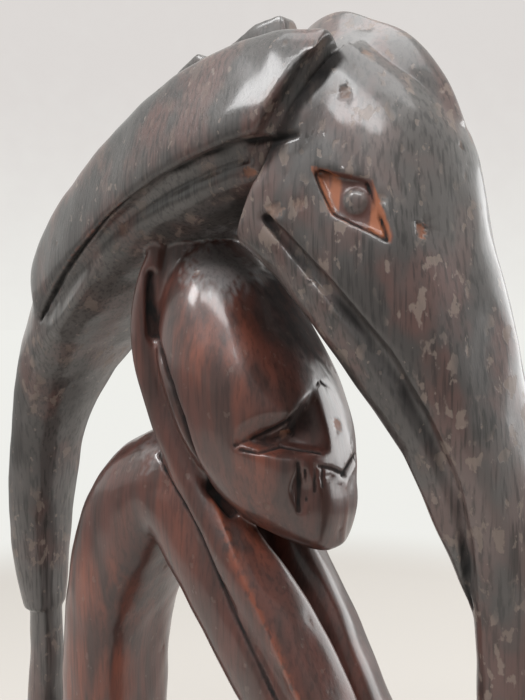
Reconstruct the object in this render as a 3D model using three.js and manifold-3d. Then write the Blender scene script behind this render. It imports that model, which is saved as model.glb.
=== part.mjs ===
// A carved hardwood sculpture, cut from one block: an abstract seated thinker under a long-beaked bird.
// The bird's beak comes down to the base in front of the thinker, and its tail comes down behind.
// Millimetres, +Z up. The origin is the middle of the base's underside, and the figure faces -Y.
import * as THREE from "three";
import { mergeVertices } from "three/addons/utils/BufferGeometryUtils.js";
import Module from "manifold-3d";

const wasm = await Module();
wasm.setup();

// Driving dimensions
const BASE_LENGTH = 182; // along Y
const BASE_WIDTH = 68; // along X
const BASE_HEIGHT = 22;
const BASE_EDGE = 2.5; // worn chamfer round the top
const BASE_SIDES = 36;
const BASE_SQUARENESS = 3.6; // 2 is an ellipse, more is boxier
const FLOOR = BASE_HEIGHT - 4; // where a limb that stands on the base ends, inside it

const LIMB_SIDES = 14;
const RINGS_PER_SPAN = 2;

const DORSAL_THICKNESS = 6.5;
const DORSAL_DEPTH = 14;
const TOOTH_HEIGHT = 8;
const TOOTH_PITCH = 25;

const MOUTH_GROOVE = 1.7; // half the width of the channel along the mouth
const WING_GROOVE = 2.2;
const EYE_DEPTH = 1.8;
const PUPIL_RADIUS = 2.3;
const PUPIL_SUNK = 0.7;
const SHORTEST_EDGE = 0.01; // what the cuts leave finer than this is smoothed over
const FAR_NOTCH = [0.6, -3, 0]; // how far out the +X eye's cut stands
const CUT_CLEAR = 6; // how far a cutter reaches out of the wood

const WOOD = new THREE.MeshStandardMaterial({ color: 0x2a1712, roughness: 0.32, metalness: 0 });

// Stations: a limb's sections along its way, joined by a smooth curve

const STATION_DEFAULTS = { x: 0, upper: 2.2, lower: 2.2, pinch: 0, lean: 0 };
const STATION_KEYS = ["y", "z", "wide", "rise", "drop", ...Object.keys(STATION_DEFAULTS)];

// A section's centre and half width, and its depths to the left and right of the way, seen from +X.
function station(y, z, wide, rise, drop, extras = {}) {
  return { ...STATION_DEFAULTS, y, z, wide, rise, drop, ...extras };
}

function catmullRom(p0, p1, p2, p3, t) {
  const slopeIn = (p2 - p0) / 2;
  const slopeOut = (p3 - p1) / 2;
  const cubic = 2 * p1 - 2 * p2 + slopeIn + slopeOut;
  const square = 3 * p2 - 3 * p1 - 2 * slopeIn - slopeOut;
  return ((cubic * t + square) * t + slopeIn) * t + p1;
}

// The section at a place along the way, from 0 at the first station to 1 at the last
function sectionAt(stations, place) {
  const spans = stations.length - 1;
  const span = Math.min(spans - 1, Math.floor(place * spans));
  const t = place * spans - span;
  const four = [-1, 0, 1, 2].map((k) => stations[Math.min(spans, Math.max(0, span + k))]);
  return Object.fromEntries(
    STATION_KEYS.map((key) => [key, catmullRom(...four.map((s) => s[key]), t)]),
  );
}

const power = (value, exponent) => Math.sign(value) * Math.abs(value) ** exponent;

// A point of a section: a superellipse, pinched on its upper side, that may lean over.
function sectionPoint(s, angle) {
  const exponent = 2 / (Math.sin(angle) > 0 ? s.upper : s.lower);
  const across = power(Math.cos(angle), exponent);
  const height = power(Math.sin(angle), exponent);
  const flat = s.wide * across * (1 - s.pinch * Math.max(0, height));
  const deep = height * (height > 0 ? s.rise : s.drop);
  const c = Math.cos(s.lean);
  const d = Math.sin(s.lean);
  return [flat * c - deep * d, flat * d + deep * c];
}

// A section's two axes: one as near to X as it can be, and one square to it and to the way.
function axesAt(stations, place) {
  const step = 1e-3;
  const before = sectionAt(stations, Math.max(0, place - step));
  const after = sectionAt(stations, Math.min(1, place + step));
  const way = new THREE.Vector3(after.x - before.x, after.y - before.y, after.z - before.z).normalize();
  const side = new THREE.Vector3(1, 0, 0).addScaledVector(way, -way.x).normalize();
  return { side, up: new THREE.Vector3().crossVectors(side, way) };
}

// Solids

function signedVolume(points, corners) {
  const at = (corner) => new THREE.Vector3().fromArray(points, 3 * corners[corner]);
  let volume = 0;
  for (let i = 0; i < corners.length; i += 3) {
    volume += at(i).dot(at(i + 1).cross(at(i + 2))) / 6;
  }
  return volume;
}

// A closed surface of merged points, with its faces turned to point outwards
function solidFrom(positions, indices) {
  const geometry = new THREE.BufferGeometry();
  geometry.setAttribute("position", new THREE.Float32BufferAttribute(positions, 3));
  geometry.setIndex(indices);
  const merged = mergeVertices(geometry, 1e-3);
  const corners = merged.index.array;
  const triVerts = [];
  for (let i = 0; i < corners.length; i += 3) {
    const [a, b, c] = corners.slice(i, i + 3);
    if (a !== b && b !== c && c !== a) triVerts.push(a, b, c);
  }
  const vertProperties = merged.attributes.position.array;
  if (signedVolume(vertProperties, triVerts) < 0) triVerts.reverse();
  return new wasm.Manifold(
    new wasm.Mesh({ numProp: 3, vertProperties, triVerts: new Uint32Array(triVerts) }),
  );
}

// Rings of equally many points, skinned in order and closed at both ends by flat fans
function skin(rings) {
  const sides = rings[0].length;
  const indices = [];
  for (let ring = 0; ring < rings.length - 1; ring++) {
    for (let k = 0; k < sides; k++) {
      const a = ring * sides + k;
      const b = ring * sides + ((k + 1) % sides);
      indices.push(a, a + sides, b, b, a + sides, b + sides);
    }
  }
  const last = (rings.length - 1) * sides;
  for (let k = 1; k < sides - 1; k++) {
    indices.push(0, k, k + 1, last, last + k + 1, last + k);
  }
  return solidFrom(rings.flat(2), indices);
}

function loft(stations, { sides = LIMB_SIDES, perSpan = RINGS_PER_SPAN } = {}) {
  const count = (stations.length - 1) * perSpan;
  const rings = [];
  for (let ring = 0; ring <= count; ring++) {
    const place = ring / count;
    const s = sectionAt(stations, place);
    const { side, up } = axesAt(stations, place);
    const points = [];
    for (let k = 0; k < sides; k++) {
      const [flat, deep] = sectionPoint(s, (2 * Math.PI * (k + 0.5)) / sides);
      const p = new THREE.Vector3(s.x, s.y, s.z).addScaledVector(side, flat).addScaledVector(up, deep);
      points.push([p.x, p.y, p.z]);
    }
    rings.push(points);
  }
  return skin(rings);
}

// The same limb on the other side of the middle
function mirrored(stations) {
  return stations.map((s) => ({ ...s, x: -s.x, lean: -s.lean }));
}

const bothSides = (stations, options = {}) => [
  loft(stations, options),
  loft(mirrored(stations), options),
];

// A flat outline of [y, z] points, thickened along X
function slab(outline, fromX, toX) {
  const shape = new THREE.Shape(outline.map(([y, z]) => new THREE.Vector2(y, z)));
  const geometry = new THREE.ExtrudeGeometry(shape, { depth: toX - fromX, bevelEnabled: false });
  const turn = new THREE.Matrix4().makeBasis(
    new THREE.Vector3(0, 1, 0),
    new THREE.Vector3(0, 0, 1),
    new THREE.Vector3(1, 0, 0),
  );
  geometry.applyMatrix4(turn).translate(fromX, 0, 0);
  const positions = geometry.getAttribute("position").array;
  return solidFrom(positions, [...Array(positions.length / 3).keys()]);
}

const moved = (point, direction, distance) => point.map((v, i) => v + direction[i] * distance);

// A flat outline of [x, y, z] points, thickened along a direction from one depth to another
function prism(outline, direction, from, to) {
  return skin([from, to].map((depth) => outline.map((p) => moved(p, direction, depth))));
}

// A chisel notch: flat facets from its deep corner out past its corners on the skin
function notch({ deep, skin: corners }) {
  const REACH = 4;
  const outer = corners.map((p) => p.map((v, i) => deep[i] + (v - deep[i]) * REACH));
  const count = corners.length;
  const indices = [];
  for (let k = 1; k <= count; k++) indices.push(0, k, (k % count) + 1);
  for (let k = 1; k < count - 1; k++) indices.push(count, k + 1, k);
  return solidFrom([deep, ...outer].flat(), indices);
}

const acrossMiddle = (points, middle = 0) => points.map(([x, y, z]) => [2 * middle - x, y, z]);

// The same notch on the other side of the face, which is cut less deep
function notchAcross({ deep, skin: corners }) {
  const [low, ...outer] = acrossMiddle([deep, ...corners], FACE_MIDDLE).map((p) => moved(p, FAR_NOTCH, 1));
  return { deep: low, skin: outer };
}

// The cutter of one eye, which leaves its pupil
function eyeCutter(corners, pupil, outwards) {
  const across = new THREE.Vector3(0, 0, 1).cross(new THREE.Vector3(...outwards)).normalize();
  const up = new THREE.Vector3(...outwards).cross(across);
  const circle = Array.from({ length: 10 }, (_, k) => {
    const angle = (2 * Math.PI * k) / 10;
    const shift = across.clone().multiplyScalar(Math.cos(angle)).addScaledVector(up, Math.sin(angle));
    return moved(pupil, shift.toArray(), PUPIL_RADIUS);
  });
  const hollow = prism(corners, outwards, -EYE_DEPTH, CUT_CLEAR);
  return hollow.subtract(prism(circle, outwards, -2 * EYE_DEPTH, -PUPIL_SUNK));
}

// The base: a low block with bowed sides and a worn top edge
function base() {
  const levels = [
    { inset: 0, z: 0 },
    { inset: 0, z: BASE_HEIGHT - BASE_EDGE },
    { inset: BASE_EDGE, z: BASE_HEIGHT },
  ];
  const rings = levels.map(({ inset, z }) => {
    const points = [];
    for (let k = 0; k < BASE_SIDES; k++) {
      const angle = (-2 * Math.PI * k) / BASE_SIDES;
      const x = (BASE_WIDTH / 2 - inset) * power(Math.cos(angle), 2 / BASE_SQUARENESS);
      const y = (BASE_LENGTH / 2 - inset) * power(Math.sin(angle), 2 / BASE_SQUARENESS);
      points.push([x, y, z]);
    }
    return points;
  });
  return skin(rings);
}

// The bird's arched body, from inside its head to the end of its back feathers
const BODY = [
  station(-48, 291, 20, 22, 11, { upper: 2.3, lower: 2.4 }),
  station(-28, 290, 26.3, 26.5, 11.5, { upper: 2.3, lower: 2.6 }),
  station(-8, 286, 26.3, 29.5, 12.5, { upper: 2.3, lower: 2.6 }),
  station(9, 280, 25.8, 28.5, 11.5, { upper: 2.3, lower: 2.6 }),
  station(24, 271, 25, 24.7, 10.3, { upper: 2.6, lower: 2.6 }),
  station(37, 259.5, 23.8, 25.2, 9.3, { upper: 2.7, lower: 2.5 }),
  station(51, 246.5, 20, 20.4, 8, { upper: 2.3, lower: 2.4 }),
  station(64, 233, 16.2, 13.8, 9.1, { upper: 2.3, lower: 2.3 }),
  station(73.3, 214, 13, 10.2, 8.4),
  station(77.6, 192, 11.8, 8.8, 7.9),
  station(79, 170, 10, 8, 7.4),
  station(77.2, 152, 7, 6.6, 5.2),
];

// The long tail below the notch, which widens towards the base
const TAIL = [
  station(77, 158, 5.2, 5, 4.2),
  station(76.8, 139, 5.6, 6.2, 4.4),
  station(78, 112, 7, 6.6, 5.2),
  station(78.5, 68, 12, 7, 7),
  station(77.5, FLOOR, 18, 8, 8),
];

// The folded wing on the -X side, a raised panel that ends in a point
const WING = [
  station(-46, 302.5, 4.8, 11, 12.5, { x: -22, upper: 3, lower: 3.4, lean: -0.34 }),
  station(-31, 303, 5.6, 12.5, 14, { x: -22.5, upper: 3, lower: 3.4, lean: -0.34 }),
  station(-13, 300, 6, 12.8, 15, { x: -22.8, upper: 3, lower: 3.4, lean: -0.34 }),
  station(5, 293.5, 6, 12, 14.5, { x: -22.2, upper: 3, lower: 3.2, lean: -0.34 }),
  station(22, 283, 5.6, 12.9, 13, { x: -21.2, upper: 3, lower: 3.2, lean: -0.32 }),
  station(38, 271, 5, 13.6, 10.5, { x: -19.8, upper: 2.8, lower: 3, lean: -0.3 }),
  station(49, 260, 3.6, 11, 7, { x: -18.8, upper: 2.4, lower: 2.4, lean: -0.25 }),
  station(53, 248, 1.2, 1.6, 1.6, { x: -18.4, upper: 2, lower: 2, lean: -0.2 }),
];
// The channel under the wing's lower edge
const WING_CHANNEL = [
  station(-50, 290, WING_GROOVE, WING_GROOVE, WING_GROOVE, { x: -28.2 }),
  station(-28, 288.8, WING_GROOVE, WING_GROOVE, WING_GROOVE, { x: -28.4 }),
  station(-10, 284.4, WING_GROOVE, WING_GROOVE, WING_GROOVE, { x: -28.4 }),
  station(7, 277.4, WING_GROOVE, WING_GROOVE, WING_GROOVE, { x: -27.6 }),
  station(26, 264.8, WING_GROOVE, WING_GROOVE, WING_GROOVE, { x: -25.8 }),
  station(40, 253, WING_GROOVE, WING_GROOVE, WING_GROOVE, { x: -23.4 }),
  station(50, 241, 0.8, 0.8, 0.8, { x: -20.6 }),
];

// The hollow where the body meets the cheek, down the head's back edge
const VALLEY = [
  station(-50, 314.4, 2, 2, 2, { x: -13.5 }),
  station(-47, 309, 2.8, 2.8, 2.8, { x: -20 }),
  station(-44.2, 303.3, 3.3, 3.3, 3.3, { x: -24.4 }),
  station(-40.5, 296.9, 3.5, 3.5, 3.5, { x: -27.2 }),
  station(-37.2, 290.3, 3.8, 3.8, 3.8, { x: -29 }),
  station(-31.4, 281.8, 4.6, 4.6, 4.6, { x: -29 }),
  station(-25.9, 273.4, 5, 5, 5, { x: -28 }),
  station(-23, 268, 4, 4, 4, { x: -24 }),
];

// All that lies in front of the head's back face, as [y, z], which the plumage stops short of
const FRONT_OF_CHEEK = [
  [-66.7, 342.6],
  [-130, 342.6],
  [-130, 238.4],
  [-7.1, 238.4],
];

// The upper beak and the head, from the base up to the back edge of the cheeks
const HEAD = [
  station(-79.5, FLOOR, 9.5, 8, 8.5),
  station(-81, 70, 8.2, 6.4, 7.6),
  station(-82.3, 120, 7.8, 6, 8),
  station(-82.6, 165, 8, 6.2, 8.6, { pinch: 0.15 }),
  station(-82.3, 184, 8.6, 6.5, 8.7, { lower: 2.6, pinch: 0.3 }),
  station(-81.5, 200, 10.8, 6.6, 10, { lower: 3, pinch: 0.4 }),
  station(-79, 215, 13.6, 7.5, 15, { lower: 3.4, pinch: 0.5 }),
  station(-74.5, 232, 18, 9, 19.1, { lower: 4, pinch: 0.6 }),
  station(-68.5, 249, 22.5, 11.5, 23.4, { lower: 4.4, pinch: 0.68 }),
  station(-60.5, 266, 26, 16.1, 26.4, { upper: 2.4, lower: 5, pinch: 0.66 }),
  station(-50, 283, 27.2, 22.1, 29.2, { upper: 3.2, lower: 6, pinch: 0.5 }),
  station(-36, 291, 27.2, 25.6, 26.6, { upper: 5, lower: 7, pinch: 0.24 }),
];

// The tip of the lower beak, which ends in a small step on the inner side of the upper one
const LOWER_TIP = [
  station(-76, 189.5, 6.5, 3, 3.2, { lower: 2.6 }),
  station(-73.6, 199, 9.5, 4, 4, { lower: 2.6 }),
  station(-69, 211, 12.5, 5, 4.2, { lower: 3 }),
  station(-63, 224, 15, 5, 3.6, { lower: 3 }),
];
// The mouth line, a channel in each cheek that fades out at both ends
const MOUTH = [
  station(-75.4, 188, 1, 0.8, 0.8, { x: -9.4 }),
  station(-74.6, 202.2, MOUTH_GROOVE, 1.2, 1.2, { x: -12 }),
  station(-72.8, 215.2, MOUTH_GROOVE, MOUTH_GROOVE, MOUTH_GROOVE, { x: -14.6 }),
  station(-68.7, 227.8, MOUTH_GROOVE, MOUTH_GROOVE, MOUTH_GROOVE, { x: -17.9 }),
  station(-63.4, 239, MOUTH_GROOVE, MOUTH_GROOVE, MOUTH_GROOVE, { x: -21.1 }),
  station(-56.8, 249.1, MOUTH_GROOVE, MOUTH_GROOVE, MOUTH_GROOVE, { x: -23.9 }),
  station(-49.6, 258, MOUTH_GROOVE, 1.4, 1.4, { x: -25.9 }),
  station(-42.8, 265.2, MOUTH_GROOVE, 1.1, 1.1, { x: -26.8 }),
  station(-34.3, 274.2, MOUTH_GROOVE, 0.5, 0.5, { x: -27.8 }),
];

// The pointed crest on the crown, from the forehead back
const CREST = [
  station(-67, 295, 3, 1, 5, { pinch: 0.5 }),
  station(-60, 303.5, 6, 2.2, 6, { pinch: 0.55 }),
  station(-52, 309, 10, 6.8, 7, { upper: 2, pinch: 0.65 }),
  station(-44, 312, 11.5, 9.4, 8, { upper: 2, pinch: 0.75 }),
  station(-36, 313, 11.5, 12, 8, { upper: 2, pinch: 0.75 }),
  station(-29, 312.5, 10.5, 9.6, 8, { upper: 2, pinch: 0.72 }),
  station(-24, 310.5, 6, 4, 7, { upper: 2, pinch: 0.5 }),
];

// The eye on the -X side: a slanted diamond on the cheek's surface, with a round pupil left standing
const EYE = [
  [-24.9, -45.4, 283.6],
  [-23.1, -57.5, 280.2],
  [-23.1, -62.4, 268.2],
  [-25.4, -50.2, 274],
];
const PUPIL = [-24.4, -54.6, 276.5];
const EYE_OUTWARDS = [-0.98, -0.17, 0.06];

// The ridge of the back, as [y, z] points from the crown to the tail, which the saw teeth follow
const BACK_LINE = [
  [-24, 319],
  [-8, 318.5],
  [10, 313],
  [28, 302.2],
  [45, 288],
  [59, 268],
  [70, 247],
  [77, 226],
];
const TOOTH = [
  [0, 0.05],
  [0.05, 0.8],
  [0.11, 1],
  [0.4, 0.86],
  [0.75, 0.5],
  [1, 0.05],
]; // share of the pitch, share of the height: steep towards the head, slow towards the tail
const TOOTH_SHRINK = 0.9;

function dorsalRidge() {
  const curve = new THREE.SplineCurve(BACK_LINE.map(([y, z]) => new THREE.Vector2(y, z)));
  const length = curve.getLength();
  const teeth = Math.floor(length / TOOTH_PITCH);
  const outer = [];
  const inner = [];
  for (let tooth = 0; tooth < teeth; tooth++) {
    for (const [share, rise] of TOOTH) {
      const place = ((tooth + share) * TOOTH_PITCH) / length;
      const at = curve.getPointAt(place);
      const tangent = curve.getTangentAt(place);
      const height = TOOTH_HEIGHT * TOOTH_SHRINK ** tooth * rise;
      outer.push([at.x - tangent.y * height, at.y + tangent.x * height]);
      if (share === 0) inner.unshift([at.x + tangent.y * DORSAL_DEPTH, at.y - tangent.x * DORSAL_DEPTH]);
    }
  }
  return slab([...outer, ...inner].reverse(), -DORSAL_THICKNESS / 2, DORSAL_THICKNESS / 2);
}

// The thinker's long head, from the chin up to the crown under the bird's belly
const FACE = [
  station(-36.8, 194.4, 3.8, 1.8, 2),
  station(-35.6, 197, 8.4, 3.8, 5.4),
  station(-32, 203.5, 13.5, 9.2, 12.5, { lower: 2.6 }),
  station(-24.5, 214.5, 20.5, 14.8, 17, { lower: 3.2 }),
  station(-16.5, 229, 24, 16.6, 19, { lower: 3.4 }),
  station(-9, 243, 24, 15.8, 18.5, { lower: 3.4 }),
  station(-3, 256, 20.8, 14.2, 15, { lower: 3 }),
  station(1, 265, 15, 10, 9.5, { lower: 2.4 }),
  station(4.5, 278, 7, 5, 5),
];

// The face's chisel cuts, as [x, y, z]: each notch has one deep corner and the rest on the skin.
// The first leaves the side of the nose and the sunk eye, the second parts the nose from the lips.
const FACE_MIDDLE = -2; // the features stand a little off the middle, as cut by hand
const EYE_NOTCH = {
  deep: [-10.8, -28.4, 221.8],
  skin: [
    [-1.4, -33.2, 237.5],
    [-13, -32, 230],
    [-23.4, -20.6, 223],
    [-19.8, -27.2, 220.8],
    [-3, -38.7, 219.2],
  ],
};
const LIP_NOTCH = {
  deep: [-4.6, -37.2, 213.6],
  skin: [
    [-1.6, -39.6, 215],
    [-10, -36.4, 214.2],
    [-1.6, -39.8, 212],
  ],
};
const CHEEK_CUT = {
  deep: [-12.6, -32.8, 211.8],
  skin: [
    [-14, -34.4, 218.2],
    [-14.8, -32.8, 211],
    [-13.2, -34, 204.5],
    [-10.8, -36, 211.5],
  ],
};

// One hand and forearm, from the elbow up to the fingertips beside the crown
const FOREARM = [
  station(-50, 124, 8.6, 7, 7.5, { x: -8, upper: 2.6 }),
  station(-46.5, 140, 8.4, 6.4, 6.8, { x: -8, upper: 3.4, lower: 3, lean: 0.2 }),
  station(-37, 158, 8.2, 6.6, 6.6, { x: -8, upper: 3.8, lower: 3, lean: 0.3 }),
  station(-26.5, 174, 8.2, 7.7, 6.2, { x: -8.8, upper: 3.8, lower: 3, lean: 0.34 }),
  station(-14, 190, 7.6, 8, 5.6, { x: -11, upper: 3.6, lower: 3, lean: 0.34 }),
  station(-3.2, 207, 6.1, 5.8, 4, { x: -12.8, upper: 3.4, lower: 2.6, lean: 0.34 }),
  station(5.6, 224, 5, 4.8, 2.6, { x: -15, upper: 3, lower: 2.2, lean: 0.34 }),
  station(10.4, 241, 4.8, 4, 3, { x: -17.2, upper: 2.6, lower: 2, lean: 0.3 }),
  station(11, 256, 4.2, 3.6, 3.4, { x: -17.2, upper: 2.2, lower: 1.8, lean: 0.2 }),
  station(7.5, 271, 2.5, 2, 2, { x: -16 }),
];

// What is left standing between a hand and the head, at the bottom of the groove that parts them
const HAND_WEB = [
  station(5, 266, 3, 3.5, 3.5, { x: -12 }),
  station(5.5, 252, 4, 4.5, 4.5, { x: -13.5 }),
  station(1.5, 236, 4.2, 4.5, 4.5, { x: -15 }),
  station(-4, 220, 4.2, 4.5, 4.5, { x: -13.5 }),
  station(-9, 206, 3.5, 4, 4, { x: -10.5 }),
];

// One upper arm, from the same elbow up to the shoulder
const UPPER_ARM = [
  station(-50, 124, 8.8, 7, 7, { x: -8.6 }),
  station(-45.5, 133, 9, 7, 8.6, { x: -8.6 }),
  station(-36, 148, 9.2, 7, 11.4, { x: -9 }),
  station(-24.5, 163.5, 9.6, 7.4, 12.4, { x: -9.2 }),
  station(-13, 178.5, 10, 8.4, 12.6, { x: -9.4 }),
  station(-3, 191.5, 10.2, 10, 12.8, { x: -9.4 }),
  station(8, 202, 10, 13, 11.5, { x: -9.4 }),
  station(20, 201, 9.6, 14, 12, { x: -9 }),
];

// The back and shoulders, one bent form from the seat to the shoulder blades
const BACK = [
  station(38, FLOOR, 20, 17, 17, { upper: 2.8, lower: 2.6 }),
  station(40, 42, 20.5, 16.5, 16.5, { upper: 2.8, lower: 2.6 }),
  station(43.5, 70, 18.5, 14, 13.5, { upper: 2.8, lower: 2.6 }),
  station(44.5, 100, 17.2, 13, 13, { upper: 2.8, lower: 2.6 }),
  station(43.3, 130, 17, 12.2, 13.3, { upper: 2.8, lower: 2.6 }),
  station(39.5, 156, 17.5, 10, 16, { upper: 2.8, lower: 2.5 }),
  station(32.5, 180, 18.5, 12.6, 18.9, { upper: 2.6, lower: 2.4 }),
  station(21, 199, 19.5, 14, 18.4, { upper: 2.4, lower: 2.3 }),
  station(5, 207.5, 18.5, 11, 14.8, { upper: 2.3, lower: 2.3 }),
  station(-8, 204, 13, 6, 9, { upper: 2.2, lower: 2.2 }),
];

// One leg: the thigh from the seat up to the knee, the shin down to the base, and the foot
const THIGH = [
  station(36, 40, 10.2, 11, 11, { x: -9.2, upper: 2.4 }),
  station(12, 58, 10.2, 10, 10, { x: -9.2, upper: 2.4 }),
  station(-12, 80, 9.8, 9, 9, { x: -9.1, upper: 2.4 }),
  station(-34, 102, 9.6, 8.5, 8.5, { x: -8.9, upper: 2.4 }),
  station(-48, 117, 9, 7, 7, { x: -8.6, upper: 2.3 }),
];
const SHIN = [
  station(-50, 130, 8.6, 6.5, 6.5, { x: -8.6, upper: 2.3 }),
  station(-50, 108, 9.4, 8, 8, { x: -8.8, upper: 2.3 }),
  station(-48, 80, 9.4, 7.5, 8, { x: -8.8, upper: 2.3 }),
  station(-45, 50, 8.8, 6.8, 7, { x: -8.6, upper: 2.3 }),
  station(-44, FLOOR, 9.4, 7.5, 7.5, { x: -9, upper: 2.3 }),
];
const FOOT = [
  station(-34, 24, 7.5, 5, 5, { x: -9.8, upper: 2.4 }),
  station(-44, 25, 8.6, 6, 9, { x: -10, upper: 2.4 }),
  station(-56, 24, 9, 5, 6, { x: -10.4, upper: 2.4 }),
  station(-65, 22.5, 6.5, 3, 2.8, { x: -10.6, upper: 2.2 }),
];

const join = (solids) => solids.reduce((whole, next) => whole.add(next));
const cut = (solid, cutters) => cutters.reduce((rest, cutter) => rest.subtract(cutter), solid);

const plumage = cut(join([loft(BODY, { sides: 18 }), ...bothSides(WING)]), [
  ...bothSides(WING_CHANNEL, { sides: 8 }),
  ...bothSides(VALLEY, { sides: 8, perSpan: 1 }),
  slab(FRONT_OF_CHEEK, -BASE_WIDTH / 2, BASE_WIDTH / 2),
]);
const birdHead = cut(join([loft(HEAD, { sides: 20 }), loft(LOWER_TIP, { sides: 12 })]), [
  ...bothSides(MOUTH, { sides: 6 }),
  eyeCutter(EYE, PUPIL, EYE_OUTWARDS),
  eyeCutter(acrossMiddle(EYE), acrossMiddle([PUPIL])[0], acrossMiddle([EYE_OUTWARDS])[0]),
]);
const notches = [EYE_NOTCH, LIP_NOTCH, CHEEK_CUT];
const humanHead = cut(loft(FACE, { sides: 18 }), [
  ...notches.map(notch),
  ...notches.map(notchAcross).map(notch),
]);
const limbs = [
  ...bothSides(FOREARM, { sides: 12 }),
  ...bothSides(HAND_WEB, { sides: 6, perSpan: 1 }),
  ...bothSides(UPPER_ARM, { sides: 10 }),
  loft(BACK, { sides: 14 }),
  ...[THIGH, SHIN, FOOT].flatMap((leg) => bothSides(leg, { sides: 10, perSpan: 1 })),
];

// The one body that is left when the loose splinters of the cuts are cleared away
function cleared(solid) {
  const bodies = solid.simplify(SHORTEST_EDGE).decompose();
  return bodies.reduce((most, next) => (next.volume() > most.volume() ? next : most));
}

const sculpture = cleared(join([
  base(),
  plumage,
  birdHead,
  loft(CREST, { sides: 8 }),
  dorsalRidge(),
  loft(TAIL, { sides: 10 }),
  humanHead,
  ...limbs,
]));

function meshOf(solid, name, material) {
  const { numVert, numProp, vertProperties, triVerts } = solid.getMesh();
  const positions = new Float32Array(numVert * 3);
  for (let i = 0; i < numVert; i++) {
    positions.set(vertProperties.subarray(i * numProp, i * numProp + 3), i * 3);
  }
  const geometry = new THREE.BufferGeometry();
  geometry.setAttribute("position", new THREE.BufferAttribute(positions, 3));
  geometry.setIndex(new THREE.BufferAttribute(new Uint32Array(triVerts), 1));
  geometry.computeVertexNormals();
  const mesh = new THREE.Mesh(geometry, material);
  mesh.name = name;
  return mesh;
}

const carving = new THREE.Group();
carving.add(meshOf(sculpture, "sculpture", WOOD));
export default carving;
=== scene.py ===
"""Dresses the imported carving: an abstract thinker under a long-beaked bird, cut from one dark block.

The tables are in millimetres, as in the part's own source, and everything in Blender is in metres.
"""

import logging
import math
from collections.abc import Iterable, Sequence
from dataclasses import dataclass, field, replace
from enum import Enum

import bmesh
import bpy
import numpy as np
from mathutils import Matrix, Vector
from mathutils.bvhtree import BVHTree

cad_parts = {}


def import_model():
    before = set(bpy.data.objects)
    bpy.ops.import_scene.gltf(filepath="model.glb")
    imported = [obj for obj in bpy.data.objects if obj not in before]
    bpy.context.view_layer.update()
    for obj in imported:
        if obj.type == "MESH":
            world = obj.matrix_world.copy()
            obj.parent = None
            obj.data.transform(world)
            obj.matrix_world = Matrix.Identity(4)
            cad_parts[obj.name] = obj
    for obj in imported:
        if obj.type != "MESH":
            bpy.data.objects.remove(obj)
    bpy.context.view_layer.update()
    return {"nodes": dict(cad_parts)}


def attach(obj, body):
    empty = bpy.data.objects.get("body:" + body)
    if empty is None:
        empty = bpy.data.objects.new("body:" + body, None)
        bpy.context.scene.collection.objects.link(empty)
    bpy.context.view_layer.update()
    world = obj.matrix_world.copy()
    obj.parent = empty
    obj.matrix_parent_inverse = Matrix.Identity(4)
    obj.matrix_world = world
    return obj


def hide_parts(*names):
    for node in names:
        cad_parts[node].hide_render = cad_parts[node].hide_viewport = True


Point = tuple[float, float, float]
Color = tuple[float, float, float, float]
Object = bpy.types.Object
Shell = bmesh.types.BMesh

LOG = logging.getLogger("carving")
MM = 0.001
# the height, inside the plinth, from which the figures rise
FLOOR = 18
SEED = 7


class Figure(Enum):
    """What a stretch of the carved surface belongs to, as the number kept on its points."""

    BIRD = 0.0
    PLINTH = 0.35
    THINKER = 1.0


class Cut(Enum):
    """How one solid works on another."""

    JOIN = "UNION"
    CARVE = "DIFFERENCE"


@dataclass(frozen=True)
class Section:
    """One cross-section of a limb: its centre, half width, and depths to either side of the way."""

    y: float
    z: float
    wide: float
    rise: float
    drop: float
    x: float = 0.0
    upper: float = 2.2
    lower: float = 2.2
    pinch: float = 0.0
    lean: float = 0.0

    def numbers(self) -> np.ndarray:
        """The section as one row of numbers, for interpolation."""
        return np.array(
            [self.x, self.y, self.z, self.wide, self.rise, self.drop]
            + [self.upper, self.lower, self.pinch, self.lean]
        )

    def mirrored(self) -> "Section":
        """The same section on the other side of the middle."""
        return replace(self, x=-self.x, lean=-self.lean)


def sections(*rows: tuple[float, ...]) -> tuple[Section, ...]:
    """A limb's sections from rows of numbers, in the order of Section's fields."""
    return tuple(Section(*row) for row in rows)


def power(value: np.ndarray, exponent: np.ndarray) -> np.ndarray:
    """A signed power, as superellipses use."""
    return np.sign(value) * np.abs(value) ** exponent


def catmull_rom(rows: np.ndarray, place: float) -> np.ndarray:
    """The rows' smooth curve at a place along them.

    Args:
        rows: One row of numbers per station.
        place: From 0 at the first row to 1 at the last.

    Returns:
        One row of numbers.
    """
    spans = len(rows) - 1
    span = min(spans - 1, int(place * spans))
    t = place * spans - span
    p0, p1, p2, p3 = (rows[min(spans, max(0, span + k))] for k in (-1, 0, 1, 2))
    slope_in, slope_out = (p2 - p0) / 2, (p3 - p1) / 2
    cubic = 2 * p1 - 2 * p2 + slope_in + slope_out
    square = 3 * p2 - 3 * p1 - 2 * slope_in - slope_out
    return ((cubic * t + square) * t + slope_in) * t + p1


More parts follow.
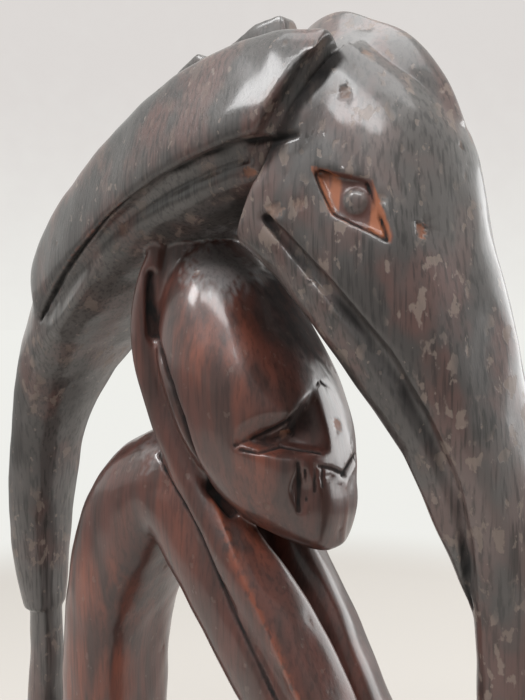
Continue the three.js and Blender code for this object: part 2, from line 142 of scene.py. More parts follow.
def skin(rings: Sequence[np.ndarray]) -> Shell:
    """A closed skin over rings of equally many points: a circle pushed on from ring to ring.

    Args:
        rings: Points in metres, one array of rows per ring.

    Returns:
        The closed shell, with its faces pointing outwards.
    """
    made = bmesh.new()
    count = len(rings[0])
    ring = list(bmesh.ops.create_circle(made, cap_ends=False, radius=1, segments=count)["verts"])
    edges = list(made.edges)
    for number, points in enumerate(rings):
        if number:
            grown = bmesh.ops.extrude_edge_only(made, edges=edges)["geom"]
            fresh = {v for v in grown if isinstance(v, bmesh.types.BMVert)}
            edges = [
                e
                for e in grown
                if isinstance(e, bmesh.types.BMEdge) and all(v in fresh for v in e.verts)
            ]
            ring = [
                next(e.other_vert(v) for e in v.link_edges if e.other_vert(v) in fresh)
                for v in ring
            ]
        for vert, point in zip(ring, points):
            vert.co = point
        if number in (0, len(rings) - 1):
            bmesh.ops.contextual_create(made, geom=edges)
    bmesh.ops.recalc_face_normals(made, faces=made.faces)
    return made


@dataclass(frozen=True)
class Loft:
    """A limb skinned over its sections."""

    stations: tuple[Section, ...]
    sides: int = 40
    per_span: int = 6

    def mirrored(self) -> "Loft":
        """The same limb on the other side of the middle."""
        return replace(self, stations=tuple(s.mirrored() for s in self.stations))

    def ring(self, place: float) -> np.ndarray:
        """The points of the section at a place along the way, in metres."""
        rows = np.array([s.numbers() for s in self.stations])
        x, y, z, wide, rise, drop, upper, lower, pinch, lean = catmull_rom(rows, place)
        ends = [catmull_rom(rows, min(1.0, max(0.0, place + d)))[:3] for d in (-1e-3, 1e-3)]
        way = ends[1] - ends[0]
        way /= np.linalg.norm(way)
        side = np.array([1.0, 0.0, 0.0]) - way[0] * way
        side /= np.linalg.norm(side)
        up = np.cross(side, way)
        angle = 2 * np.pi * (np.arange(self.sides) + 0.5) / self.sides
        exponent = 2 / np.where(np.sin(angle) > 0, upper, lower)
        across = power(np.cos(angle), exponent)
        height = power(np.sin(angle), exponent)
        flat = wide * across * (1 - pinch * np.maximum(0, height))
        deep = height * np.where(height > 0, rise, drop)
        turned = flat * math.cos(lean) - deep * math.sin(lean)
        raised = flat * math.sin(lean) + deep * math.cos(lean)
        points = np.array([x, y, z]) + np.outer(turned, side) + np.outer(raised, up)
        return points * MM

    def build(self) -> Shell:
        """The limb's closed skin."""
        count = (len(self.stations) - 1) * self.per_span
        return skin([self.ring(step / count) for step in range(count + 1)])


def both_sides(loft: Loft) -> list[Loft]:
    """A limb and its mirror image."""
    return [loft, loft.mirrored()]


def object_of(name: str, whole: Shell) -> Object:
    """An object of a bmesh, which is freed, with its mesh under the same name."""
    mesh = bpy.data.meshes.new(name)
    whole.to_mesh(mesh)
    whole.free()
    made = bpy.data.objects.new(name, mesh)
    bpy.context.scene.collection.objects.link(made)
    return made


class Workshop:
    """Turns bmeshes into objects and works on them with modifiers."""

    def __init__(self) -> None:
        """Starts with an empty bench."""
        self.voxel = 0.45 * MM

    def solid(self, name: str, shells: Iterable[Shell]) -> Object:
        """One object of several closed shells, which may overlap.

        Args:
            name: The object's name.
            shells: The shells, which are freed.

        Returns:
            The object, at the origin.
        """
        whole = bmesh.new()
        for shell in shells:
            part = bpy.data.meshes.new("shell")
            shell.to_mesh(part)
            shell.free()
            whole.from_mesh(part)
            bpy.data.meshes.remove(part)
        return object_of(name, whole)

    def lofts(self, name: str, lofts: Iterable[Loft]) -> Object:
        """One object of several lofts."""
        return self.solid(name, [loft.build() for loft in lofts])

    def apply(self, piece: Object) -> None:
        """Bakes a piece's modifiers into its mesh."""
        graph = bpy.context.evaluated_depsgraph_get()
        graph.update()
        old = piece.data
        piece.data = bpy.data.meshes.new_from_object(piece.evaluated_get(graph))
        piece.modifiers.clear()
        bpy.data.meshes.remove(old)

    def rub(self, piece: Object, rounds: int, group: str = "") -> None:
        """Rubs the surface down, everywhere or as a group of points says."""
        modifier = piece.modifiers.new("rub", "SMOOTH")
        modifier.factor = 0.5
        modifier.iterations = rounds
        modifier.vertex_group = group
        self.apply(piece)

    def weigh(self, piece: Object, name: str, weights: np.ndarray, levels: int = 8) -> None:
        """Gives a piece's points a group with weights, in a few levels."""
        group = piece.vertex_groups.new(name=name)
        steps = np.round(weights * levels).astype(int)
        for level in range(1, levels + 1):
            group.add(np.flatnonzero(steps == level).tolist(), level / levels, "REPLACE")

    def carve(self, piece: Object, name: str, lofts: Iterable[Loft], cut: Cut = Cut.CARVE) -> None:
        """Works on a piece with one loft after the other."""
        for loft in lofts:
            self.work(piece, self.lofts(name, [loft]), cut)

    def fuse(self, piece: Object, voxel: float) -> None:
        """Melts overlapping shells into one skin with softly worn edges."""
        remesh = piece.modifiers.new("fuse", "REMESH")
        remesh.mode = "VOXEL"
        remesh.voxel_size = voxel
        self.apply(piece)

    def work(self, piece: Object, tool: Object, cut: Cut) -> None:
        """Joins a tool's solid to a piece or carves it away, and clears the tool off the bench."""
        boolean = piece.modifiers.new("work", "BOOLEAN")
        boolean.operation = cut.value
        boolean.solver = "EXACT"
        boolean.object = tool
        self.apply(piece)
        self.discard(tool)

    def discard(self, piece: Object) -> None:
        """Takes an object and its mesh out of the file."""
        mesh = piece.data
        bpy.data.objects.remove(piece)
        bpy.data.meshes.remove(mesh)

    def merge(self, name: str, pieces: Sequence[Object]) -> Object:
        """Puts several objects' meshes into one object."""
        whole = bmesh.new()
        for piece in pieces:
            whole.from_mesh(piece.data)
        for piece in pieces:
            self.discard(piece)
        return object_of(name, whole)


# every row: y, z, half width, rise, drop, then x, the squareness above and below, pinch and lean
BODY = sections(
    (-48, 291, 20, 22, 11, 0, 2.3, 2.4),
    (-28, 290, 26.3, 26.5, 11.5, 0, 2.3, 2.6),
    (-8, 286, 26.3, 29.5, 12.5, 0, 2.3, 2.6),
    (9, 280, 25.8, 28.5, 11.5, 0, 2.3, 2.6),
    (24, 271, 25, 24.7, 10.3, 0, 2.6, 2.6),
    (37, 259.5, 23.8, 25.2, 9.3, 0, 2.7, 2.5),
    (51, 246.5, 20, 20.4, 8, 0, 2.3, 2.4),
    (64, 233, 16.2, 13.8, 9.1, 0, 2.3, 2.3),
    (73.3, 214, 13, 10.2, 8.4),
    (77.6, 192, 11.8, 8.8, 7.9),
    (79, 170, 10, 8, 7.4),
    (77.2, 152, 7, 6.6, 5.2),
)
WING = sections(
    (-46, 302.5, 4.8, 11, 12.5, -22, 3, 3.4, 0, -0.34),
    (-31, 303, 5.6, 12.5, 14, -22.5, 3, 3.4, 0, -0.34),
    (-13, 300, 6, 12.8, 15, -22.8, 3, 3.4, 0, -0.34),
    (5, 293.5, 6, 12, 14.5, -22.2, 3, 3.2, 0, -0.34),
    (22, 283, 5.6, 12.9, 13, -21.2, 3, 3.2, 0, -0.32),
    (38, 271, 5, 13.6, 10.5, -19.8, 2.8, 3, 0, -0.3),
    (49, 260, 3.6, 11, 7, -18.8, 2.4, 2.4, 0, -0.25),
    (53, 248, 1.2, 1.6, 1.6, -18.4, 2, 2, 0, -0.2),
)
WING_CHANNEL = sections(
    (-50, 290, 2.2, 2.2, 2.2, -28.2),
    (-28, 288.8, 2.2, 2.2, 2.2, -28.4),
    (-10, 284.4, 2.2, 2.2, 2.2, -28.4),
    (7, 277.4, 2.2, 2.2, 2.2, -27.6),
    (26, 264.8, 2.2, 2.2, 2.2, -25.8),
    (40, 253, 2.2, 2.2, 2.2, -23.4),
    (50, 241, 0.8, 0.8, 0.8, -20.6),
)
VALLEY = sections(
    (-50, 314.4, 2, 2, 2, -13.5),
    (-47, 309, 2.8, 2.8, 2.8, -20),
    (-44.2, 303.3, 3.3, 3.3, 3.3, -24.4),
    (-40.5, 296.9, 3.5, 3.5, 3.5, -27.2),
    (-37.2, 290.3, 3.8, 3.8, 3.8, -29),
    (-31.4, 281.8, 4.6, 4.6, 4.6, -29),
    (-25.9, 273.4, 5, 5, 5, -28),
    (-23, 268, 4, 4, 4, -24),
)
HEAD = sections(
    (-79.5, FLOOR, 9.5, 8, 8.5),
    (-81, 70, 8.2, 6.4, 7.6),
    (-82.3, 120, 7.8, 6, 8),
    (-82.6, 165, 8, 6.2, 8.6, 0, 2.2, 2.2, 0.15),
    (-82.3, 184, 8.6, 6.5, 8.7, 0, 2.2, 2.6, 0.3),
    (-81.5, 200, 10.8, 6.6, 10, 0, 2.2, 3, 0.4),
    (-79, 215, 13.6, 7.5, 15, 0, 2.2, 3.4, 0.5),
    (-74.5, 232, 18, 9, 19.1, 0, 2.2, 4, 0.6),
    (-68.5, 249, 22.5, 11.5, 23.4, 0, 2.2, 4.4, 0.68),
    (-60.5, 266, 26, 14.9, 26.4, 0, 2.4, 5, 0.66),
    (-50, 283, 27.2, 21.6, 29.2, 0, 3.2, 6, 0.5),
    (-36, 291, 27.2, 25.6, 26.6, 0, 5, 7, 0.24),
)
LOWER_TIP = sections(
    (-76, 189.5, 6.5, 3, 3.2, 0, 2.2, 2.6),
    (-73.6, 199, 9.5, 4, 4, 0, 2.2, 2.6),
    (-69, 211, 12.5, 5, 4.2, 0, 2.2, 3),
    (-63, 224, 15, 5, 3.6, 0, 2.2, 3),
)
MOUTH = sections(
    (-75.4, 188, 1.2, 1, 1.04, -8.65),
    (-74.6, 202.2, 2.04, 1.5, 1.56, -11.25),
    (-72.8, 215.2, 2.04, 2.12, 2.21, -13.85),
    (-68.7, 227.8, 2.04, 2.12, 2.21, -17.15),
    (-63.4, 239, 2.04, 2.12, 2.21, -20.35),
    (-56.8, 249.1, 2.04, 2.12, 2.21, -23.15),
    (-49.6, 258, 2.04, 1.75, 1.82, -25.15),
    (-42.8, 265.2, 2.04, 1.38, 1.43, -26.05),
    (-34.3, 274.2, 2.04, 0.625, 0.65, -27.05),
)
CREST = sections(
    (-67, 294, 4, 1.4, 5, 0, 2.2, 2.2, 0.5),
    (-60, 303.5, 7, 4.2, 6, 0, 2.2, 2.2, 0.55),
    (-52, 309, 10, 7.6, 7, 0, 2, 2.2, 0.65),
    (-44, 312, 11.5, 9.4, 8, 0, 2, 2.2, 0.75),
    (-36, 313, 11.5, 12, 8, 0, 2, 2.2, 0.75),
    (-29, 312.5, 10.5, 9.6, 8, 0, 2, 2.2, 0.72),
    (-24, 310.5, 6, 4, 7, 0, 2, 2.2, 0.5),
)
TAIL = sections(
    (77, 158, 5.2, 5, 4.2),
    (76.8, 139, 5.6, 6.2, 4.4),
    (78, 112, 7, 6.6, 5.2),
    (78.5, 68, 12, 7, 7),
    (77.5, FLOOR, 18, 8, 8),
)
FACE = sections(
    (-36.8, 194.4, 3.8, 1.8, 2),
    (-35.6, 197, 8.4, 3.8, 5.4),
    (-32, 203.5, 13.5, 9.2, 12.5, 0, 2.2, 2.6),
    (-24.5, 214.5, 20.5, 14.8, 17, 0, 2.2, 3.2),
    (-16.5, 229, 24, 16.6, 19, 0, 2.2, 3.4),
    (-9, 243, 24, 15.8, 18.5, 0, 2.2, 3.4),
    (-3, 256, 20.8, 14.2, 15, 0, 2.2, 3),
    (1, 265, 15, 10, 9.5, 0, 2.2, 2.4),
    (4.5, 278, 7, 5, 5),
)
FOREARM = sections(
    (-50, 124, 8.6, 7, 7.5, -8, 2.6),
    (-46.5, 140, 8.4, 6.4, 6.8, -8, 3.4, 3, 0, 0.2),
    (-37, 158, 8.2, 6.6, 6.6, -8, 3.8, 3, 0, 0.3),
    (-26.5, 174, 8.2, 7.7, 6.2, -8.8, 3.8, 3, 0, 0.34),
    (-14, 190, 7.6, 8, 5.6, -11, 3.6, 3, 0, 0.34),
    (-3.2, 207, 6.1, 5.8, 4, -12.8, 3.4, 2.6, 0, 0.34),
    (5.6, 224, 5, 4.8, 2.6, -15, 3, 2.2, 0, 0.34),
    (10.4, 241, 4.8, 4, 3, -17.2, 2.6, 2, 0, 0.3),
    (11, 256, 4.2, 3.6, 3.4, -17.2, 2.2, 1.8, 0, 0.2),
    (7.5, 271, 2.5, 2, 2, -16),
)
HAND_WEB = sections(
    (3, 275, 3.5, 4, 4, -10.5),
    (5, 266, 3, 3.5, 3.5, -12),
    (5.5, 252, 4, 4.5, 4.5, -13.5),
    (1.5, 236, 4.2, 4.5, 4.5, -15),
    (-4, 220, 4.2, 4.5, 4.5, -13.5),
    (-9, 206, 3.5, 4, 4, -10.5),
)
UPPER_ARM = sections(
    (-50, 124, 8.8, 7, 7, -8.6),
    (-45.5, 133, 9, 7, 8.6, -8.6),
    (-36, 148, 9.2, 7, 11.4, -9),
    (-24.5, 163.5, 9.6, 7.4, 12.4, -9.2),
    (-13, 178.5, 10, 8.4, 12.6, -9.4),
    (-3, 191.5, 10.2, 10, 12.8, -9.4),
    (8, 202, 10, 13, 11.5, -9.4),
    (20, 201, 9.6, 14, 12, -9),
)
BACK = sections(
    (38, FLOOR, 20, 17, 17, 0, 2.8, 2.6),
    (40, 42, 20.5, 16.5, 16.5, 0, 2.8, 2.6),
    (43.5, 70, 18.5, 14, 13.5, 0, 2.8, 2.6),
    (44.5, 100, 17.2, 13, 13, 0, 2.8, 2.6),
    (43.3, 130, 17, 12.2, 13.3, 0, 2.8, 2.6),
    (39.5, 156, 17.5, 10, 16, 0, 2.8, 2.5),
    (32.5, 180, 18.5, 12.6, 18.9, 0, 2.6, 2.4),
    (21, 199, 19.5, 14, 18.4, 0, 2.4, 2.3),
    (5, 207.5, 18.5, 11, 14.8, 0, 2.3, 2.3),
    (-8, 204, 13, 6, 9),
)
THIGH = sections(
    (36, 40, 10.2, 11, 11, -9.2, 2.4),
    (12, 58, 10.2, 10, 10, -9.2, 2.4),
    (-12, 80, 9.8, 9, 9, -9.1, 2.4),
    (-34, 102, 9.6, 8.5, 8.5, -8.9, 2.4),
    (-48, 117, 9, 7, 7, -8.6, 2.3),
)
SHIN = sections(
    (-50, 130, 8.6, 6.5, 6.5, -8.6, 2.3),
    (-50, 108, 9.4, 8, 8, -8.8, 2.3),
    (-48, 80, 9.4, 7.5, 8, -8.8, 2.3),
    (-45, 50, 8.8, 6.8, 7, -8.6, 2.3),
    (-44, FLOOR, 9.4, 7.5, 7.5, -9, 2.3),
)
FOOT = sections(
    (-34, 24, 7.5, 5, 5, -9.8, 2.4),
    (-44, 25, 8.6, 6, 9, -10, 2.4),
    (-56, 24, 9, 5, 6, -10.4, 2.4),
    (-65, 22.5, 6.5, 3, 2.8, -10.6),
)

NECK = (0, -36, 291)
NECK_WAY = (0, 0.868, 0.496)
EYE = ((-24.9, -45.4, 283.6), (-23.1, -57.5, 280.2), (-23.1, -62.4, 268.2), (-25.4, -50.2, 274))
PUPIL = (-24.4, -54.6, 276.5)
EYE_OUTWARDS = (-0.98, -0.17, 0.06)
FRONT_OF_CHEEK = ((-66.7, 342.6), (-130, 342.6), (-130, 238.4), (-7.1, 238.4))
FACE_MIDDLE = -2.0
FAR_NOTCH = (0.6, -3.0, 0.0)
BACK_LINE = ((-24, 319), (-8, 318.5), (10, 313), (28, 302.2), (45, 288), (59, 268), (70, 247), (77, 226))
TOOTH = ((0, 0.05), (0.05, 0.8), (0.11, 1), (0.4, 0.86), (0.75, 0.5), (1, 0.05))


def prism(
    outline: Sequence[Sequence[float]], direction: Sequence[float], start: float, end: float
) -> Shell:
    """A flat outline thickened along a direction.

    Args:
        outline: Corners in millimetres.
        direction: The way it is thickened.
        start: Depth of the first face.
        end: Depth of the last face.

    Returns:
        The closed shell.
    """
    flat = np.array(outline, dtype=float)
    way = np.array(direction, dtype=float)
    return skin([(flat + way * depth) * MM for depth in (start, end)])


@dataclass(frozen=True)
class Notch:
    """A chisel notch in the face: flat facets from one deep corner out past its corners."""

    deep: Point
    corners: tuple[Point, ...]
    reach: float = 4.0

    def across(self) -> "Notch":
        """The notch on the other side of the face, which stands further out."""

        def moved(point: Point) -> Point:
            """One corner mirrored about the face's middle and moved out."""
            x, y, z = point
            return (2 * FACE_MIDDLE - x + FAR_NOTCH[0], y + FAR_NOTCH[1], z + FAR_NOTCH[2])

        return replace(self, deep=moved(self.deep), corners=tuple(map(moved, self.corners)))

    def build(self) -> Shell:
        """The cutter, a cone whose rim is moved to the corners and whose tip is the deep one."""
        made = bmesh.new()
        sides = len(self.corners)
        bmesh.ops.create_cone(
            made, cap_ends=True, cap_tris=True, segments=sides, radius1=1, radius2=0, depth=2
        )
        bmesh.ops.remove_doubles(made, verts=made.verts, dist=1e-6)
        deep = np.array(self.deep)
        outer = deep + (np.array(self.corners) - deep) * self.reach
        rim = sorted(
            (v for v in made.verts if v.co.z < 0 and v.co.xy.length > 0.5),
            key=lambda v: math.atan2(v.co.y, v.co.x),
        )
        for vert in made.verts:
            if vert.co.z > 0:
                vert.co = Vector(deep * MM)
            elif vert.co.xy.length < 0.5:
                vert.co = Vector(outer.mean(axis=0) * MM)
        for vert, point in zip(rim, outer):
            vert.co = Vector(point * MM)
        bmesh.ops.recalc_face_normals(made, faces=made.faces)
        return made


NOTCHES = (
    Notch(
        (-10.8, -28.4, 221.8),
        (
            (-1.4, -33.2, 237.5), (-13, -32, 230), (-23.4, -20.6, 223), (-19.8, -27.2, 220.8),
            (-3, -38.7, 219.2),
        ),
    ),
    Notch((-4.6, -37.2, 213.6), ((-1.6, -39.6, 215), (-10, -36.4, 214.2), (-1.6, -39.8, 212))),
    Notch(
        (-12.6, -32.8, 211.8),
        ((-14, -34.4, 218.2), (-14.8, -32.8, 211), (-13.2, -34, 204.5), (-10.8, -36, 211.5)),
    ),
)


@dataclass
class Plinth:
    """The low block that the figure stands on, with bowed sides and a worn top edge."""

    length: float = 182
    width: float = 68
    height: float = 22
    edge: float = 2.5
    squareness: float = 3.6
    sides: int = 120

    def shell(self) -> Shell:
        """The block's closed skin."""
        angle = 2 * np.pi * np.arange(self.sides) / self.sides
        rings = []
        for inset, z in ((0, 0), (0, self.height - self.edge), (self.edge, self.height)):
            x = (self.width / 2 - inset) * power(np.cos(angle), np.array(2 / self.squareness))
            y = (self.length / 2 - inset) * power(np.sin(angle), np.array(2 / self.squareness))
            rings.append(np.stack([x, y, np.full_like(x, z)], axis=1) * MM)
        return skin(rings)


@dataclass
class Bird:
    """The long-beaked bird: plumage, wings, head, crest, saw-toothed back and tail."""

    bench: Workshop
    slab_width: float = 68
    ridge_thickness: float = 6.5
    ridge_depth: float = 14
    tooth_height: float = 8
    tooth_pitch: float = 25
    tooth_shrink: float = 0.9
    back_steps: int = 400
    eye_depth: float = 1.5
    eye_clearance: float = 6
    pupil_radius: float = 2.3
    pupil_sunk: float = 0.5
    pupil_corners: int = 28
    neck_margin: float = 4
    rub_rounds: int = 5
    eye_hollows: list[Shell] = field(default_factory=list)

    def plumage(self) -> Object:
        """The body with both wings, their channels and the hollow behind the head."""
        made = self.bench.lofts("plumage", [Loft(BODY, 44)])
        self.bench.carve(made, "wing", both_sides(Loft(WING, 32)), Cut.JOIN)
        self.bench.carve(made, "channel", both_sides(Loft(WING_CHANNEL, 14, 4)))
        self.bench.carve(made, "valley", both_sides(Loft(VALLEY, 16, 3)))
        outline = [(-self.slab_width / 2, y, z) for y, z in FRONT_OF_CHEEK]
        slab = prism(outline, (1, 0, 0), 0, self.slab_width)
        self.bench.work(made, self.bench.solid("slab", [slab]), Cut.CARVE)
        return made

    def head(self) -> Object:
        """The head and beak, with the mouth's channels and the sunk eyes."""
        made = self.bench.lofts("head", [Loft(HEAD, 56)])
        short = (points_of(made.data) / MM - np.array(NECK)) @ np.array(NECK_WAY)
        self.bench.weigh(made, "away_from_neck", (short < -self.neck_margin).astype(float))
        self.bench.rub(made, self.rub_rounds, "away_from_neck")
        made.vertex_groups.clear()
        self.bench.carve(made, "tip", [Loft(LOWER_TIP, 32)], Cut.JOIN)
        self.bench.carve(made, "mouth", both_sides(Loft(MOUTH, 14, 4)))
        for side in (1, -1):
            self.bench.work(made, self.eye(side), Cut.CARVE)
        return made

    def eye(self, side: int) -> Object:
        """The cutter of one eye, which leaves a flat round pupil standing.

        Args:
            side: 1 for the near eye, -1 for its mirror image.

        Returns:
            The cutter's object.
        """
        turn = np.array([side, 1, 1])
        outwards = np.array(EYE_OUTWARDS) * turn
        across = np.cross([0, 0, 1], outwards)
        across /= np.linalg.norm(across)
        up = np.cross(outwards, across)
        angle = 2 * np.pi * np.arange(self.pupil_corners) / self.pupil_corners
        circle = np.array(PUPIL) * turn + self.pupil_radius * (
            np.outer(np.cos(angle), across) + np.outer(np.sin(angle), up)
        )
        hollow = prism(np.array(EYE) * turn, outwards, -self.eye_depth, self.eye_clearance)
        self.eye_hollows.append(hollow.copy())
        cutter = self.bench.solid("eye", [hollow])
        pupil = prism(circle, outwards, -2 * self.eye_depth, -self.pupil_sunk)
        self.bench.work(cutter, self.bench.solid("pupil", [pupil]), Cut.CARVE)
        return cutter

    def ridge(self) -> Shell:
        """The row of saw teeth down the back, steep towards the head."""
        line = np.array(BACK_LINE, dtype=float)
        dense = np.array([catmull_rom(line, t) for t in np.linspace(0, 1, self.back_steps)])
        run = np.concatenate([[0], np.cumsum(np.linalg.norm(np.diff(dense, axis=0), axis=1))])
        outer, inner = [], []
        for tooth in range(int(run[-1] // self.tooth_pitch)):
            for share, rise in TOOTH:
                place = (tooth + share) * self.tooth_pitch
                at = np.array([np.interp(place, run, dense[:, k]) for k in (0, 1)])
                near = [
                    np.array([np.interp(place + d, run, dense[:, k]) for k in (0, 1)])
                    for d in (-0.5, 0.5)
                ]
                way = (near[1] - near[0]) / np.linalg.norm(near[1] - near[0])
                out = np.array([-way[1], way[0]])
                height = self.tooth_height * self.tooth_shrink**tooth * rise
                outer.append(at + out * height)
                inner.append(at - out * self.ridge_depth)
        half = self.ridge_thickness / 2
        outline = [(-half, y, z) for y, z in [*outer, *inner[::-1]]]
        return prism(outline, (1, 0, 0), 0, self.ridge_thickness)

    def build(self) -> list[Object]:
        """All of the bird's solids."""
        rest = self.bench.lofts("crest_and_tail", [Loft(CREST, 32), Loft(TAIL, 32)])
        return [self.plumage(), self.head(), rest, self.bench.solid("ridge", [self.ridge()])]


@dataclass
class Thinker:
    """The seated thinker: long head between the hands, bent back, arms and legs."""

    bench: Workshop
    rub_rounds: int = 6

    def head(self) -> Object:
        """The long head with the face's chisel cuts on both sides."""
        made = self.bench.lofts("face", [Loft(FACE, 56)])
        self.bench.rub(made, self.rub_rounds)
        for notch in [*NOTCHES, *(n.across() for n in NOTCHES)]:
            self.bench.work(made, self.bench.solid("notch", [notch.build()]), Cut.CARVE)
        return made

    def limbs(self) -> Object:
        """Arms, legs and back."""
        pairs = [FOREARM, HAND_WEB, UPPER_ARM, THIGH, SHIN, FOOT]
        lofts = [limb for table in pairs for limb in both_sides(Loft(table, 32))]
        return self.bench.lofts("limbs", [*lofts, Loft(BACK, 44)])

    def build(self) -> list[Object]:
        """All of the thinker's solids."""
        return [self.head(), self.limbs()]


def points_of(mesh: bpy.types.Mesh) -> np.ndarray:
    """A mesh's points, one row each, in metres."""
    flat = np.empty(3 * len(mesh.vertices), dtype=np.float32)
    mesh.vertices.foreach_get("co", flat)
    return flat.reshape(-1, 3).astype(float)


def normals_of(mesh: bpy.types.Mesh) -> np.ndarray:
    """A mesh's point normals, one row each."""
    flat = np.empty(3 * len(mesh.vertices), dtype=np.float32)
    mesh.vertex_normals.foreach_get("vector", flat)
    return flat.reshape(-1, 3).astype(float)


def move_points(mesh: bpy.types.Mesh, points: np.ndarray) -> None:
    """Puts a mesh's points at new places."""
    mesh.vertices.foreach_set("co", points.astype(np.float32).ravel())
    mesh.update()


def smooth_step(value: np.ndarray, low: float, high: float) -> np.ndarray:
    """A soft step from 0 at low to 1 at high."""
    t = np.clip((value - low) / (high - low), 0, 1)
    return t * t * (3 - 2 * t)


@dataclass(frozen=True)
class Stroke:
    """A knife line or a raised bead along a path on the surface, in millimetres."""

    width: float
    depth: float
    path: tuple[Point, ...]
    # how much painted shade, standing in for the shade in the cut, blackens the line
    painted_shade: float = 1.0
    worn: float = 0.0

    def share(self, points: np.ndarray, spread: float = 1.0) -> np.ndarray:
        """How much each point is on the line, from 0 to 1.

        Args:
            points: Points in metres, one row each.
            spread: How many times wider than the cut the line is taken.

        Returns:
            A share per point, soft across the line.
        """
        width = self.width * spread * MM
        shares = np.zeros(len(points))
        for sign in (1, -1):
            path = np.array(self.path) * np.array([sign, 1, 1]) * MM
            low, high = path.min(axis=0) - 2.5 * width, path.max(axis=0) + 2.5 * width
            near = np.flatnonzero(np.all((points > low) & (points < high), axis=1))
            if not len(near):
                continue
            away = np.full(len(near), np.inf)
            for start, end in zip(path[:-1], path[1:]):
                way = end - start
                t = np.clip((points[near] - start) @ way / (way @ way), 0, 1)
                gap = np.linalg.norm(points[near] - start - np.outer(t, way), axis=1)
                away = np.minimum(away, gap)
            shares[near] = np.maximum(shares[near], np.exp(-((away / width) ** 2)))
        return shares

    def sink(self, points: np.ndarray) -> np.ndarray:
        """How far each point sinks below the surface, in metres; a bead's is negative."""
        return self.share(points) * self.depth * MM


@dataclass(frozen=True)
class Fillet:
    """A round place, in millimetres, where two limbs are sanded into each other."""

    middle: Point
    reach: float

    def share(self, points: np.ndarray) -> np.ndarray:
        """How much of the sanding each point gets, from 0 to 1, on either side of the middle."""
        got = np.zeros(len(points))
        for sign in (1, -1):
            middle = np.array(self.middle) * np.array([sign, 1, 1]) * MM
            away = np.linalg.norm(points - middle, axis=1) / (self.reach * MM)
            got = np.maximum(got, 1 - smooth_step(away, 0.55, 1.0))
        return got


@dataclass(frozen=True)
class Scar:
    """A chip, a bare patch, or a patch of painted shade or painted sheen, in millimetres, on the near
    side alone.
    """

    middle: Point
    reach: float
    depth: float
    orange: float = 0.0
    tall: float = 1.0
    # how much painted shade blackens the patch
    painted_shade: float = 0.0
    # how much painted sheen, a pale reflection painted on, greys the patch
    bloom_and_painted_sheen: float = 0.0

    def share(self, points: np.ndarray) -> np.ndarray:
        """How much each point is inside the scar, from 0 to 1, with a ragged rim."""
        offset = (points - np.array(self.middle) * MM) / MM
        away = np.linalg.norm(offset * np.array([1, 1, 1 / self.tall]), axis=1) / self.reach
        wave = np.sin(offset @ np.array([2.1, 3.3, 1.7]))
        ragged = 0.32 * wave * np.cos(offset @ np.array([1.3, -2.2, 3.1]))
        return 1 - smooth_step(away + ragged, 0.7, 1.0)


